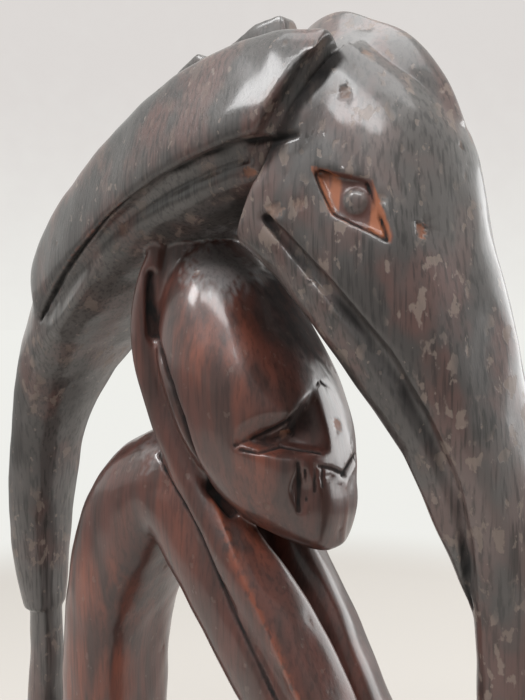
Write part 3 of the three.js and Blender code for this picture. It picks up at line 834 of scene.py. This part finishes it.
@dataclass
class Carving:
    """The whole figure as one skin, with the knife work, wear and chips of the real wood."""

    bench: Workshop
    most_triangles: int = 192_000
    crisp_bend: tuple[float, float] = (0.07, 0.18)
    face_rounds: int = 40
    join_rounds: int = 240
    waves: int = 30
    wave_height: float = 0.13
    wave_lengths: tuple[float, float] = (7, 26)
    chips: int = 260
    chip_reach: tuple[float, float] = (0.35, 1.0)
    chip_depth: tuple[float, float] = (0.05, 0.18)
    full_flake: float = 0.12
    edge_rounds: int = 6
    hollow_rounds: int = 90
    raw_rim: tuple[float, float] = (0.25, 0.6)
    wing_rim: tuple[float, float] = (0.35, 0.9)

    def build(self) -> Object:
        """The finished skin with its point attributes, at the origin."""
        maker = Bird(self.bench)
        bird = maker.build()
        thinker = Thinker(self.bench).build()
        plinth = self.bench.solid("plinth", [Plinth().shell()])
        figures = {
            Figure.BIRD: self.tree(bird),
            Figure.THINKER: self.tree(thinker),
            Figure.PLINTH: self.tree([plinth]),
        }
        hollows = self.bench.solid("eye_hollows", maker.eye_hollows)
        panels = self.bench.lofts("wings", both_sides(Loft(WING, 32)))
        near = {
            "raw": (self.tree([hollows]), *self.raw_rim),
            "wing": (self.tree([panels]), *self.wing_rim),
        }
        self.bench.discard(hollows)
        self.bench.discard(panels)
        made = self.bench.merge("sculpture_carving", [*bird, *thinker, plinth])
        self.bench.fuse(made, self.bench.voxel)
        LOG.info("fused: %d points", len(made.data.vertices))
        self.sand(made)
        self.undulate(made.data)
        self.work_surface(made.data)
        self.bench.rub(made, 1)
        self.relief(made)
        self.thin(made)
        self.mark(made.data, figures, near)
        made.data.shade_smooth()
        LOG.info("carving: %d faces", len(made.data.polygons))
        return made

    def tree(self, pieces: Sequence[Object]) -> BVHTree:
        """The pieces' surfaces, ready to be measured from."""
        whole = bmesh.new()
        for piece in pieces:
            whole.from_mesh(piece.data)
        made = BVHTree.FromBMesh(whole)
        whole.free()
        return made

    def proud(self, piece: Object, rounds: int) -> np.ndarray:
        """How far each point stands out of the surface rubbed down, in millimetres."""
        copy = piece.copy()
        copy.data = piece.data.copy()
        bpy.context.scene.collection.objects.link(copy)
        self.bench.rub(copy, rounds)
        points, normals = points_of(piece.data), normals_of(piece.data)
        proud = np.einsum("ij,ij->i", points - points_of(copy.data), normals) / MM
        self.bench.discard(copy)
        return proud

    def sand(self, piece: Object) -> None:
        """Sands the broad faces smooth, spares the crisp edges, and rounds the limbs' joins."""
        bend = np.abs(self.proud(piece, 5))
        self.bench.weigh(piece, "broad", 1 - smooth_step(bend, *self.crisp_bend))
        self.bench.rub(piece, self.face_rounds, "broad")
        points = points_of(piece.data)
        joins = np.max([fillet.share(points) for fillet in FILLETS], axis=0)
        self.bench.weigh(piece, "joins", joins)
        self.bench.rub(piece, self.join_rounds, "joins")
        piece.vertex_groups.clear()

    def undulate(self, mesh: bpy.types.Mesh) -> None:
        """Gives the surface the slow waves that knife and sanding leave."""
        rng = np.random.default_rng(SEED)
        points, normals = points_of(mesh), normals_of(mesh)
        height = np.zeros(len(points))
        for _ in range(self.waves):
            way = rng.normal(size=3) * np.array([1, 1, 0.6])
            way *= 2 * np.pi / (np.linalg.norm(way) * rng.uniform(*self.wave_lengths) * MM)
            height += np.sin(points @ way + rng.uniform(0, 2 * np.pi))
        height *= self.wave_height * MM / math.sqrt(self.waves / 2)
        clear = smooth_step(points[:, 2], 0.0, 4 * MM)
        move_points(mesh, points + normals * (height * clear)[:, None])

    def work_surface(self, mesh: bpy.types.Mesh) -> None:
        """Cuts the knife lines, raises the beads, knocks flakes off, and keeps where painted shade goes.
        """
        points, normals = points_of(mesh), normals_of(mesh)
        sunk = sum(stroke.sink(points) for stroke in STROKES)
        sunk += sum(scar.share(points) * scar.depth * MM for scar in SCARS)
        # painted shade: black along the cuts and on the scars that carry it, where shade falls
        painted_shade = [stroke.share(points, 1.25) * stroke.painted_shade for stroke in STROKES if stroke.painted_shade]
        painted_shade = [smooth_step(np.max(painted_shade, axis=0), 0.25, 0.8)]
        painted_shade += [scar.share(points) * scar.painted_shade for scar in SCARS if scar.painted_shade]
        self.keep(mesh, "painted_shade", np.max(painted_shade, axis=0))
        worn = [stroke.share(points, 1.1) * stroke.worn for stroke in STROKES if stroke.worn]
        self.keep(mesh, "worn", np.max(worn, axis=0))
        flakes = self.flakes(points)
        clear = smooth_step(points[:, 2], 2 * MM, 6 * MM)
        move_points(mesh, points - normals * (sunk + flakes * clear)[:, None])
        self.keep(mesh, "flake", np.clip(flakes / (self.full_flake * MM), 0, 1))

    def flakes(self, points: np.ndarray) -> np.ndarray:
        """How deep small chips are at each point, in metres."""
        rng = np.random.default_rng(SEED + 1)
        flakes = np.zeros(len(points))
        for spot in rng.choice(len(points), self.chips, replace=False):
            reach = rng.uniform(*self.chip_reach) * MM
            stretch = np.array([1, 1, rng.uniform(0.35, 0.9)])
            near = np.flatnonzero(np.abs(points - points[spot]).max(axis=1) < 3 * reach)
            away = np.linalg.norm((points[near] - points[spot]) * stretch, axis=1) / reach
            depth = rng.uniform(*self.chip_depth) * MM
            flakes[near] = np.maximum(flakes[near], (1 - smooth_step(away, 0.6, 1.0)) * depth)
        return flakes

    def relief(self, piece: Object) -> None:
        """Keeps on every point how far it stands out, near to and further round."""
        near, far = self.proud(piece, self.edge_rounds), self.proud(piece, self.hollow_rounds)
        self.keep(piece.data, "proud", np.clip(near * 8, -1, 1))
        self.keep(piece.data, "hollow", np.clip(-far * 1.1, -1, 1))

    def thin(self, piece: Object) -> None:
        """Brings the skin under the most triangles that a piece may have."""
        modifier = piece.modifiers.new("thin", "DECIMATE")
        triangles = 2 * len(piece.data.polygons)
        modifier.ratio = min(1.0, self.most_triangles / triangles)
        modifier.use_collapse_triangulate = True
        self.bench.apply(piece)

    def mark(
        self,
        mesh: bpy.types.Mesh,
        figures: dict[Figure, BVHTree],
        near: dict[str, tuple[BVHTree, float, float]],
    ) -> None:
        """Writes on every point what it belongs to.

        Args:
            mesh: The skin's mesh.
            figures: The source surfaces of each figure.
            near: Per mark, surfaces and how far off them, in millimetres, it starts and ends to fade.
        """
        points = points_of(mesh)
        places = [Vector(p) for p in points]
        self.keep(mesh, "figure", np.array([self.nearest(p, figures) for p in places]))
        for name, (tree, low, high) in near.items():
            away = np.array([tree.find_nearest(p)[3] for p in places]) / MM
            self.keep(mesh, name, 1 - smooth_step(away, low, high))
        scars = [(scar, scar.share(points)) for scar in SCARS]
        marks = {
            # the painted sheen's patches, the chips' and bare spots' share, and the bare wood's orange
            "bloom_and_painted_sheen": [share * scar.bloom_and_painted_sheen for scar, share in scars],
            "scar": [share * (scar.painted_shade + scar.bloom_and_painted_sheen == 0) for scar, share in scars],
            "orange": [share * scar.orange for scar, share in scars],
        }
        for name, shares in marks.items():
            self.keep(mesh, name, np.max(shares, axis=0))

    def nearest(self, point: Vector, figures: dict[Figure, BVHTree]) -> float:
        """The number of the figure whose surface is nearest a point."""
        return min(figures, key=lambda figure: figures[figure].find_nearest(point)[3]).value

    def keep(self, mesh: bpy.types.Mesh, name: str, values: np.ndarray) -> None:
        """Keeps a number on every point of a mesh."""
        layer = mesh.attributes.new(name, "FLOAT", "POINT")
        layer.data.foreach_set("value", values.astype(np.float32))


# where the beak runs into the head, and where arms and back meet
FILLETS = (
    Fillet((-21.5, -65.5, 256), 9),
    Fillet((-6, 20, 180), 17),
    Fillet((-6, 27, 168), 15),
)
# knife lines and beads, on both sides: width, depth and path, then how much painted shade blackens the
# cut and how worn it is
STROKES = (
    # the undercut below the wing
    Stroke(0.75, 1.3, (
        (-24.8, -41, 291.2), (-26.2, -35.1, 290.7), (-27.4, -28.7, 290), (-27.8, -19.3, 288.4),
        (-28, -8.2, 285.2), (-28.5, 1.9, 281.3), (-28.8, 11, 277.3), (-27.6, 23.3, 270.5),
        (-25.2, 35.2, 262.8), (-22.1, 46.2, 255.2), (-20.6, 51.5, 250.5),
    )),
    # the hollow between the wing's front edge and the head, blackened with painted shade
    Stroke(1.9, 0.3, (
        (-18.2, -46.2, 307.5), (-21.1, -44.2, 303.3), (-23.7, -40.5, 296.9), (-25.2, -37.2, 290.3),
        (-24.4, -31.4, 281.8), (-23, -25.9, 273.4), (-20, -23, 268),
    )),
    # the soft channel under the wing, and the round ridge below the channel
    Stroke(1.9, 1.2, (
        (-26.4, -27.9, 287.2), (-26.5, -18.5, 285.6), (-26.5, -6.8, 282.4), (-26.4, 4, 278.5),
        (-27.2, 12.7, 274.3), (-26.6, 24.5, 267), (-23.7, 36.7, 259.1), (-21.5, 47, 251.6),
    ), painted_shade=0.0),
    Stroke(2.0, -0.8, (
        (-25.4, -27.5, 281.6), (-25.6, -18, 280.4), (-25.4, -6.6, 277.2), (-25.2, 3.8, 273.4),
        (-25.4, 12.2, 269.4), (-24.4, 23.4, 262.4), (-21.6, 35, 254.8), (-19.4, 45, 247.6),
    ), painted_shade=0.0),
    # the beak's mouth line, down to the lower beak's step
    Stroke(1.0, 1.0, (
        (-26.7, -34.1, 274), (-25.4, -42.3, 265.2), (-24.5, -49.2, 258), (-22.4, -56.4, 249.1),
        (-19.6, -63.1, 238.9), (-16.4, -68.4, 227.6), (-13.1, -72.7, 215.1), (-11.7, -73.5, 208.6),
        (-9.9, -73.8, 201.7), (-6.2, -73.7, 190.8),
    )),
    # the eye's lids
    Stroke(0.4, 0.45, (
        (-24.8, -45.3, 283.6), (-23, -50.5, 282.1), (-21.9, -56, 280.5), (-21.5, -58.6, 274.5),
        (-22.7, -61.3, 268.3), (-23.9, -55.8, 271.3), (-24.9, -49.8, 274.2), (-25, -47.4, 279.1),
        (-24.8, -45.3, 283.6),
    )),
    # the deep gap between hand and head
    Stroke(1.35, 2.5, (
        (-19, 7.9, 262.4), (-18.8, 7.8, 254.8), (-19.2, 6.8, 247.6), (-22.2, 1.2, 241.1),
        (-23.3, -2.8, 234.7), (-22.9, -5.7, 227.2), (-21.4, -7.8, 219.7), (-18.3, -8.5, 213.7),
        (-14.8, -9.4, 208.1), (-12.9, -13.9, 202.6),
    )),
    # the cut between upper arm and forearm
    Stroke(0.6, 0.8, (
        (-16.2, 7.9, 215.1), (-17.5, 4.5, 211.7), (-18.4, -2.2, 204.5), (-18.9, -8.2, 197.4),
        (-18.3, -13.6, 187.8), (-17.6, -18.7, 178.4), (-17.5, -29, 163.2), (-17, -38, 150),
        (-16.8, -45, 139),
    )),
    # the worn ridge of the forearm
    Stroke(0.9, -0.35, (
        (-15.7, -10.3, 205.7), (-17, -14.8, 198.9), (-18, -19, 191.9), (-17.9, -26.5, 180.5),
        (-16.8, -35.1, 164.8), (-16.4, -43, 153),
    ), painted_shade=0.0, worn=0.9),
    # the brow's broken line
    Stroke(0.55, 0.6, (
        (-22.3, -22.2, 222), (-18.9, -23.5, 223), (-16.9, -25.6, 224.2), (-14.3, -28.4, 225.8),
        (-12, -30.8, 227.9),
    )),
    # its end, at the root of the nose
    Stroke(0.45, 0.4, ((-12, -30.8, 227.9), (-8.7, -31.5, 230.9), (-0.7, -31.6, 235.5))),
    # the crease under the eye
    Stroke(0.5, 0.6, (
        (-21.9, -23.4, 221.1), (-19.9, -27.4, 220.8), (-13.3, -28.9, 221.3), (-10.4, -33.2, 220.1),
        (-7.2, -36.3, 219.5),
    )),
    # the long cut down the cheek
    Stroke(0.55, 0.8, ((-13.8, -34.4, 217.8), (-12.4, -33.8, 212.3), (-12.9, -34.1, 206.2))),
    # short cuts beside the lips
    Stroke(0.35, 0.4, ((-12.5, -35.5, 216.2), (-11.7, -35.3, 208.8))),
    Stroke(0.35, 0.4, ((-10, -36.4, 216.4), (-10.4, -37, 210.7))),
    Stroke(0.35, 0.35, ((-7.8, -37.3, 216.1), (-8.4, -37.7, 211.9))),
    # the lips
    Stroke(0.5, 0.5, ((-8.8, -36.8, 216.7), (-5.1, -37.9, 215.7), (0.7, -38.8, 213.2))),
    # the lip under the mouth
    Stroke(0.8, -0.3, ((-7.5, -38, 214.4), (-4.5, -38.8, 213.2), (0.2, -39.4, 211.4)), painted_shade=0.0),
    # the chin's ridge
    Stroke(0.9, -0.3, (
        (-0.3, -39, 210.5), (-0.2, -39.6, 203.5), (-0.4, -38.4, 196.5),
    ), painted_shade=0.0, worn=0.3),
)
# chips and bare spots: middle, reach, depth, how orange the bare wood is, and how tall, then how much
# painted shade and painted sheen they carry
SCARS = (
    Scar((-24.6, 12.3, 273.9), 1.6, 0.35, 0.1, 1.4),
    Scar((-26.9, -36.8, 275.5), 2.4, 0.3, 0.15, 0.7),
    Scar((-26.1, -42.7, 276.2), 1.8, 0.2, 0.1, 0.8),
    Scar((-17.1, -66.5, 270.8), 1.5, 0.5, 1.0, 1.5),
    Scar((-16.6, -5.8, 262.9), 0.9, 0.3, 0.2, 1.0),
    Scar((-4.4, -69.6, 289.0), 0.9, 0.3, 0.1, 1.6),
    Scar((-4.1, -71.1, 285.7), 0.7, 0.3, 0.1, 1.8),
    Scar((-3.0, -72.5, 282.0), 0.8, 0.3, 0.1, 1.5),
    Scar((1.9, -76.5, 267.0), 1.2, 0.3, 0.5, 1.8),
    Scar((-13.1, -51.5, 309.3), 1.6, 0.15, 0.1, 0.6),
    Scar((-20.4, -50.1, 300.0), 1.3, 0.2, 0.1, 1.8),
    Scar((-22.6, -60.0, 276.9), 1.2, 0.2, 0.1, 1.2),
    Scar((-25.6, -45.0, 260.5), 0.9, 0.3, 0.3, 1.5),
    Scar((-24.5, -28.3, 284.6), 1.8, 0.4, 0.7, 0.7),
    Scar((-26.1, -27.6, 287.1), 1.0, 0.3, 0.4, 0.8),
    # the eyes of the thinker, and painted shade in the hollows round them
    Scar((-11.6, -29.1, 224.2), 1.8, 0.2, 0.5, 0.7),
    Scar((2.2, -35.8, 225.2), 1.8, 0.2, 0.9, 1.2),
    Scar((-8.6, -30.9, 227.2), 4.8, 0.0, painted_shade=0.9),
    Scar((-15.5, -26.5, 222.6), 3.2, 0.0, tall=0.6, painted_shade=0.7),
    # painted sheen, a pale reflection painted on, on top of the head and on the shoulder, and painted
    # shade on the right of the head under the beak, for the beak's dark reflection
    Scar((-11.5, -9.0, 265.0), 10.0, 0.0, bloom_and_painted_sheen=0.8),
    Scar((-10.0, 12.0, 213.0), 9.0, 0.0, bloom_and_painted_sheen=0.5),
    Scar((5.0, -22.0, 252.0), 15.0, 0.0, tall=1.3, painted_shade=0.8),
)


class Tree:
    """A material's node tree, and the short way to put nodes in it."""

    def __init__(self, material: bpy.types.Material) -> None:
        """Starts an empty tree."""
        material.use_nodes = True
        self.tree = material.node_tree
        self.tree.nodes.clear()

    def node(
        self,
        kind: str,
        settings: dict[str, object] | None = None,
        inputs: dict[object, object] | None = None,
    ) -> bpy.types.Node:
        """One node.

        Args:
            kind: The node's type.
            settings: Its settings, such as an operation, or a ramp's stops.
            inputs: Values or links of its sockets, by name or number.

        Returns:
            The node.
        """
        made = self.tree.nodes.new(kind)
        for name, value in (settings or {}).items():
            if name == "stops":
                self._stops(made.color_ramp, value)
            else:
                setattr(made, name, value)
        for name, value in (inputs or {}).items():
            socket = made.inputs[name]
            if isinstance(value, Wire):
                value = value.socket
            if isinstance(value, bpy.types.NodeSocket):
                self.tree.links.new(value, socket)
            else:
                socket.default_value = value
        return made

    def _stops(self, ramp: bpy.types.ColorRamp, stops: Sequence[tuple[float, tuple]]) -> None:
        """Sets a ramp's stops."""
        while len(ramp.elements) < len(stops):
            ramp.elements.new(0.5)
        for element, (position, color) in zip(ramp.elements, stops):
            element.position = position
            element.color = color

    def value(self, socket: bpy.types.NodeSocket) -> "Wire":
        """A number's socket as a wire for shader maths."""
        return Wire(self, socket)

    def measure(self, operation: str, inputs: dict[object, object]) -> "Wire":
        """A number worked out from vectors."""
        made = self.node("ShaderNodeVectorMath", {"operation": operation}, inputs)
        return self.value(made.outputs["Value"])

    def attribute(self, name: str) -> "Wire":
        """A number kept on the points."""
        return self.value(self.node("ShaderNodeAttribute", {"attribute_name": name}).outputs["Fac"])

    def mix(
        self, first: object, second: object, factor: object, blend: str = "MIX"
    ) -> bpy.types.NodeSocket:
        """A colour between two colours, or one multiplied by the other, as far as a factor says."""
        settings = {"data_type": "RGBA", "blend_type": blend}
        return self.node("ShaderNodeMix", settings, {0: factor, 6: first, 7: second}).outputs[2]

    def noise(
        self, where: bpy.types.NodeSocket, stretch: Sequence[float], scale: float, detail: float = 3.0
    ) -> "Wire":
        """Noise on a stretched place, as a number about 0.5."""
        mapped = self.node("ShaderNodeMapping", None, {"Vector": where, "Scale": tuple(stretch)})
        made = self.node(
            "ShaderNodeTexNoise", None, {"Vector": mapped.outputs[0], "Scale": scale, "Detail": detail}
        )
        return self.value(made.outputs["Fac"])


class Wire:
    """A number's socket, on which Python's operators add Math nodes."""

    def __init__(self, tree: Tree, socket: bpy.types.NodeSocket) -> None:
        """Keeps the socket and its tree."""
        self.tree = tree
        self.socket = socket

    def _math(self, operation: str, *terms: object, clamp: bool = False) -> "Wire":
        """One Math node on its terms."""
        made = self.tree.node(
            "ShaderNodeMath", {"operation": operation, "use_clamp": clamp}, dict(enumerate(terms))
        )
        return Wire(self.tree, made.outputs[0])

    def __add__(self, other: object) -> "Wire":
        """This plus another."""
        return self._math("ADD", self, other)

    def __sub__(self, other: object) -> "Wire":
        """This less another."""
        return self._math("SUBTRACT", self, other)

    def __rsub__(self, other: object) -> "Wire":
        """Another less this."""
        return self._math("SUBTRACT", other, self)

    def __mul__(self, other: object) -> "Wire":
        """This times another."""
        return self._math("MULTIPLY", self, other)

    __radd__ = __add__
    __rmul__ = __mul__

    def clamp(self) -> "Wire":
        """This, kept between 0 and 1."""
        return self._math("ADD", self, 0.0, clamp=True)

    def step(self, low: float, high: float) -> "Wire":
        """A soft step from 0 at low to 1 at high, which may be below low."""
        made = self.tree.node(
            "ShaderNodeMapRange",
            {"interpolation_type": "SMOOTHSTEP"},
            {"Value": self, "From Min": low, "From Max": high},
        )
        return Wire(self.tree, made.outputs[0])


def tone(red: float, green: float, blue: float) -> Color:
    """A colour with full cover."""
    return (red, green, blue, 1.0)


@dataclass(frozen=True)
class VarnishedWood:
    """Dark hardwood under old varnish: blacker on the bird, redder on the thinker."""

    bird: Color = tone(0.022, 0.017, 0.016)
    bird_red: Color = tone(0.07, 0.024, 0.018)
    thinker: Color = tone(0.085, 0.03, 0.023)
    thinker_dark: Color = tone(0.05, 0.024, 0.02)
    glow: Color = tone(0.23, 0.062, 0.032)
    raw: Color = tone(0.27, 0.085, 0.034)
    dust: Color = tone(0.2, 0.155, 0.13)
    # grey bloom on the bird's varnish, which is also a painted sheen of the pale room
    bloom_and_painted_sheen: Color = tone(0.15, 0.138, 0.132)
    # the grey of the painted sheen on top of the head and on the shoulder
    painted_sheen_grey: Color = tone(0.2, 0.19, 0.19)
    # the near black of the painted shade; the grain lines are darkened with it too
    painted_shade: Color = tone(0.006, 0.005, 0.005)

    def build(self) -> bpy.types.Material:
        """The material."""
        material = bpy.data.materials.new("varnished_dark_wood")
        tree = Tree(material)
        where = tree.node("ShaderNodeTexCoord").outputs["Object"]
        figure, wing, proud, hollow = map(tree.attribute, ("figure", "wing", "proud", "hollow"))
        painted_shade, worn, scar, orange = map(tree.attribute, ("painted_shade", "worn", "scar", "orange"))
        raw, flake, painted_sheen_patches = map(tree.attribute, ("raw", "flake", "bloom_and_painted_sheen"))
        grain = tree.noise(where, (1.0, 1.0, 0.06), 1100, 4)
        streak = tree.noise(where, (1.0, 1.0, 0.1), 230, 4)
        blotch = tree.noise(where, (1.0, 1.0, 0.6), 75, 4)
        cloud = tree.noise(where, (1.0, 1.0, 0.8), 30, 2)
        speck = tree.noise(where, (1.0, 1.0, 0.7), 420, 5)
        peel = tree.noise(where, (1.0, 1.0, 0.6), 330, 6)
        pit = tree.noise(where, (1.0, 1.0, 0.4), 2600, 2)
        of_thinker = figure.step(0.2, 0.8)
        of_bird = 1.0 - of_thinker
        bird = tree.mix(self.bird, self.bird_red, blotch.step(0.44, 0.62))
        thinker = tree.mix(self.thinker_dark, self.thinker, streak.step(0.3, 0.68))
        thinker = tree.mix(thinker, self.glow, cloud.step(0.5, 0.74) * streak.step(0.35, 0.65) * 0.6)
        color = tree.mix(bird, thinker, of_thinker)
        # grey bloom over the bird, which also paints on the sheen of the pale room
        bloom_and_painted_sheen = (0.3 + 0.7 * cloud.step(0.62, 0.34)) * of_bird * (1.0 - 0.5 * wing) * 0.5
        color = tree.mix(color, self.bloom_and_painted_sheen, bloom_and_painted_sheen)
        # painted sheen: a pale reflection painted on top of the head and on the shoulder
        color = tree.mix(color, self.painted_sheen_grey, painted_sheen_patches * (0.45 + 0.55 * cloud.step(0.3, 0.6)))
        # the grain's own dark lines, in the same black as the painted shade
        color = tree.mix(color, self.painted_shade, grain.step(0.46, 0.66) * (0.3 + 0.25 * of_bird), "MULTIPLY")
        patches = peel.step(0.56, 0.61) * blotch.step(0.4, 0.56) * of_bird * (1.0 - 0.6 * wing)
        color = tree.mix(color, self.dust, patches * 0.6)
        specks = speck.step(0.66, 0.69) * (0.35 + 0.65 * of_bird)
        color = tree.mix(color, self.dust, specks * 0.5)
        edge = proud.step(0.35, 0.9) * speck.step(0.46, 0.56)
        color = tree.mix(color, self.glow, edge * 0.5)
        color = tree.mix(color, self.dust, edge * blotch.step(0.52, 0.6) * 0.5)
        color = tree.mix(color, self.glow, (worn * speck.step(0.38, 0.55)).clamp() * 0.75)
        color = tree.mix(color, self.dust, scar * (0.4 + 0.6 * speck.step(0.4, 0.6)) * 0.7)
        ground = tree.mix(self.raw, self.bird_red, streak.step(0.42, 0.6))
        color = tree.mix(color, ground, raw)
        color = tree.mix(color, self.dust, flake.step(0.4, 0.9) * 0.25)
        # painted shade: black along the cuts, in the hollows and in concave places, where shade falls
        dark = (painted_shade + hollow.step(0.35, 1.0) * 0.65 + proud.step(-0.35, -1.0) * 0.5).clamp()
        color = tree.mix(color, self.painted_shade, dark * (0.75 + 0.25 * speck.step(0.6, 0.4)))
        color = tree.mix(color, self.raw, orange * (0.6 + 0.4 * speck.step(0.4, 0.6)))
        dull = (scar * 0.5 + patches * 0.3 + raw * 0.35 + flake * 0.3 + painted_shade * 0.9 + dark * 0.4).clamp()
        roughness = 0.27 + 0.1 * of_bird + 0.07 * wing + 0.16 * cloud + 0.12 * (streak - 0.4)
        roughness = (roughness + dull * 0.6).clamp()
        rasp = tree.noise(where, (1.0, 1.0, 0.05), 1900, 2).step(0.5, 0.6) * wing
        height = grain * 0.35 + streak * 0.5 + pit * 0.15 - rasp * 1.2 - patches * 0.4 - specks * 0.3
        relief = {"Strength": 0.22, "Distance": 0.6 * MM, "Height": height}
        bump = tree.node("ShaderNodeBump", None, relief)
        coat = (0.6 - dull * 0.75).clamp()
        shader = tree.node(
            "ShaderNodeBsdfPrincipled",
            None,
            {
                "Base Color": color,
                "Roughness": roughness,
                "Normal": bump.outputs[0],
                "Coat Weight": coat,
                "Coat Roughness": 0.14,
                "Specular IOR Level": 0.5,
            },
        )
        tree.node("ShaderNodeOutputMaterial", None, {"Surface": shader.outputs[0]})
        return material


@dataclass(frozen=True)
class Softbox:
    """A large soft light that looks at a point of the figure."""

    name: str
    azimuth: float
    elevation: float
    distance: float
    size: tuple[float, float]
    watts: float

    def build(self, aim: Vector) -> None:
        """Hangs the light.

        Args:
            aim: The point that it looks at.
        """
        data = bpy.data.lights.new(self.name, "AREA")
        data.shape = "RECTANGLE"
        data.size, data.size_y = self.size
        data.energy = self.watts
        lamp = bpy.data.objects.new(self.name, data)
        turn, lift = math.radians(self.azimuth), math.radians(self.elevation)
        out = math.cos(lift)
        way = Vector((math.sin(turn) * out, -math.cos(turn) * out, math.sin(lift)))
        lamp.location = aim + way * self.distance
        lamp.rotation_euler = way.to_track_quat("Z", "Y").to_euler()
        bpy.context.scene.collection.objects.link(lamp)


@dataclass
class Studio:
    """The pale floor and wall, the soft lights and the camera."""

    eye: Point = (-0.16141, -0.13127, 0.25695)
    look: Point = (0.80705, 0.58635, -0.06976)
    lens: float = 39.086
    aim: Point = (0.0, -0.014, 0.24)
    wall: Color = tone(0.86, 0.86, 0.825)
    wall_above: Color = tone(0.72, 0.69, 0.67)
    night: Color = tone(0.0, 0.0, 0.0)
    behind: Point = (0.809, 0.588, 0.0)
    ground: Color = tone(0.5, 0.475, 0.45)
    floor_radius: float = 6.0
    lights: tuple[Softbox, ...] = (
        Softbox("key_left", -120, 45, 0.9, (0.3, 0.26), 4.2),
        Softbox("front_top", -66, 54, 0.9, (0.6, 0.14), 3.5),
        Softbox("overhead", -20, 84, 0.9, (0.8, 0.8), 6),
        Softbox("right_wall", 52, 6, 0.9, (0.9, 0.5), 4.5),
    )

    def build(self) -> None:
        """Sets the studio up."""
        for light in self.lights:
            light.build(Vector(self.aim))
        self.world()
        self.floor()
        self.camera()
        bpy.context.scene.view_settings.view_transform = "Standard"

    def world(self) -> None:
        """A pale wall behind and above, and a dimmer room on the camera's side."""
        world = bpy.data.worlds.new("pale_room")
        tree = Tree(world)
        way = tree.node("ShaderNodeTexCoord").outputs["Generated"]
        back = tree.measure("DOT_PRODUCT", {0: way, 1: self.behind})
        up = tree.value(tree.node("ShaderNodeSeparateXYZ", None, {0: way}).outputs["Z"])
        plaster = tree.noise(way, (1.0, 1.0, 1.0), 40, 4)
        high = (up.step(-0.12, 0.3) + (plaster - 0.5) * 0.25).clamp()
        wall = tree.mix(self.wall, self.wall_above, high)
        bright = 0.4 + 0.7 * back.step(-0.8, 0.0) + 0.2 * up.step(0.2, 0.95)
        room = tree.mix(self.night, self.wall, bright)
        seen = tree.node("ShaderNodeLightPath").outputs["Is Camera Ray"]
        shade = tree.node("ShaderNodeBackground", None, {"Color": tree.mix(room, wall, seen)})
        tree.node("ShaderNodeOutputWorld", None, {"Surface": shade.outputs[0]})
        bpy.context.scene.world = world

    def floor(self) -> None:
        """A plain pale floor that runs out into the wall's tone."""
        shape = bmesh.new()
        bmesh.ops.create_circle(shape, cap_ends=True, radius=self.floor_radius, segments=96)
        floor = object_of("floor", shape)
        material = bpy.data.materials.new("pale_floor")
        tree = Tree(material)
        where = tree.node("ShaderNodeTexCoord").outputs["Object"]
        away = tree.measure("LENGTH", {0: where})
        near = tree.node("ShaderNodeBsdfDiffuse", None, {"Color": self.ground})
        seen = tree.value(tree.node("ShaderNodeLightPath").outputs["Is Camera Ray"])
        glow = {"Color": self.wall, "Strength": 0.35 + 0.65 * seen}
        far = tree.node("ShaderNodeEmission", None, glow)
        ends = {0: away.step(0.5, 0.64), 1: near.outputs[0], 2: far.outputs[0]}
        both = tree.node("ShaderNodeMixShader", None, ends)
        tree.node("ShaderNodeOutputMaterial", None, {"Surface": both.outputs[0]})
        floor.data.materials.append(material)

    def camera(self) -> None:
        """The camera at the photograph's place."""
        data = bpy.data.cameras.new("camera")
        data.lens = self.lens
        data.sensor_width = 36
        data.clip_start = 0.01
        camera = bpy.data.objects.new("camera", data)
        camera.location = self.eye
        camera.rotation_euler = Vector(self.look).to_track_quat("-Z", "Y").to_euler()
        bpy.context.scene.collection.objects.link(camera)
        bpy.context.scene.camera = camera


def main() -> None:
    """Builds the sculpture, dresses it and sets the studio up."""
    logging.basicConfig(level=logging.INFO, format="%(name)s: %(message)s")
    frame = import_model()
    LOG.info("packed nodes: %s", ", ".join(sorted(frame["nodes"])))
    Studio().build()
    LOG.info("studio ready")
    sculpture = Carving(Workshop()).build()
    sculpture.data.materials.clear()
    sculpture.data.materials.append(VarnishedWood().build())
    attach(sculpture, "root")
    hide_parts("sculpture")
    LOG.info("sculpture dressed")


if __name__ == "__main__":
    main()
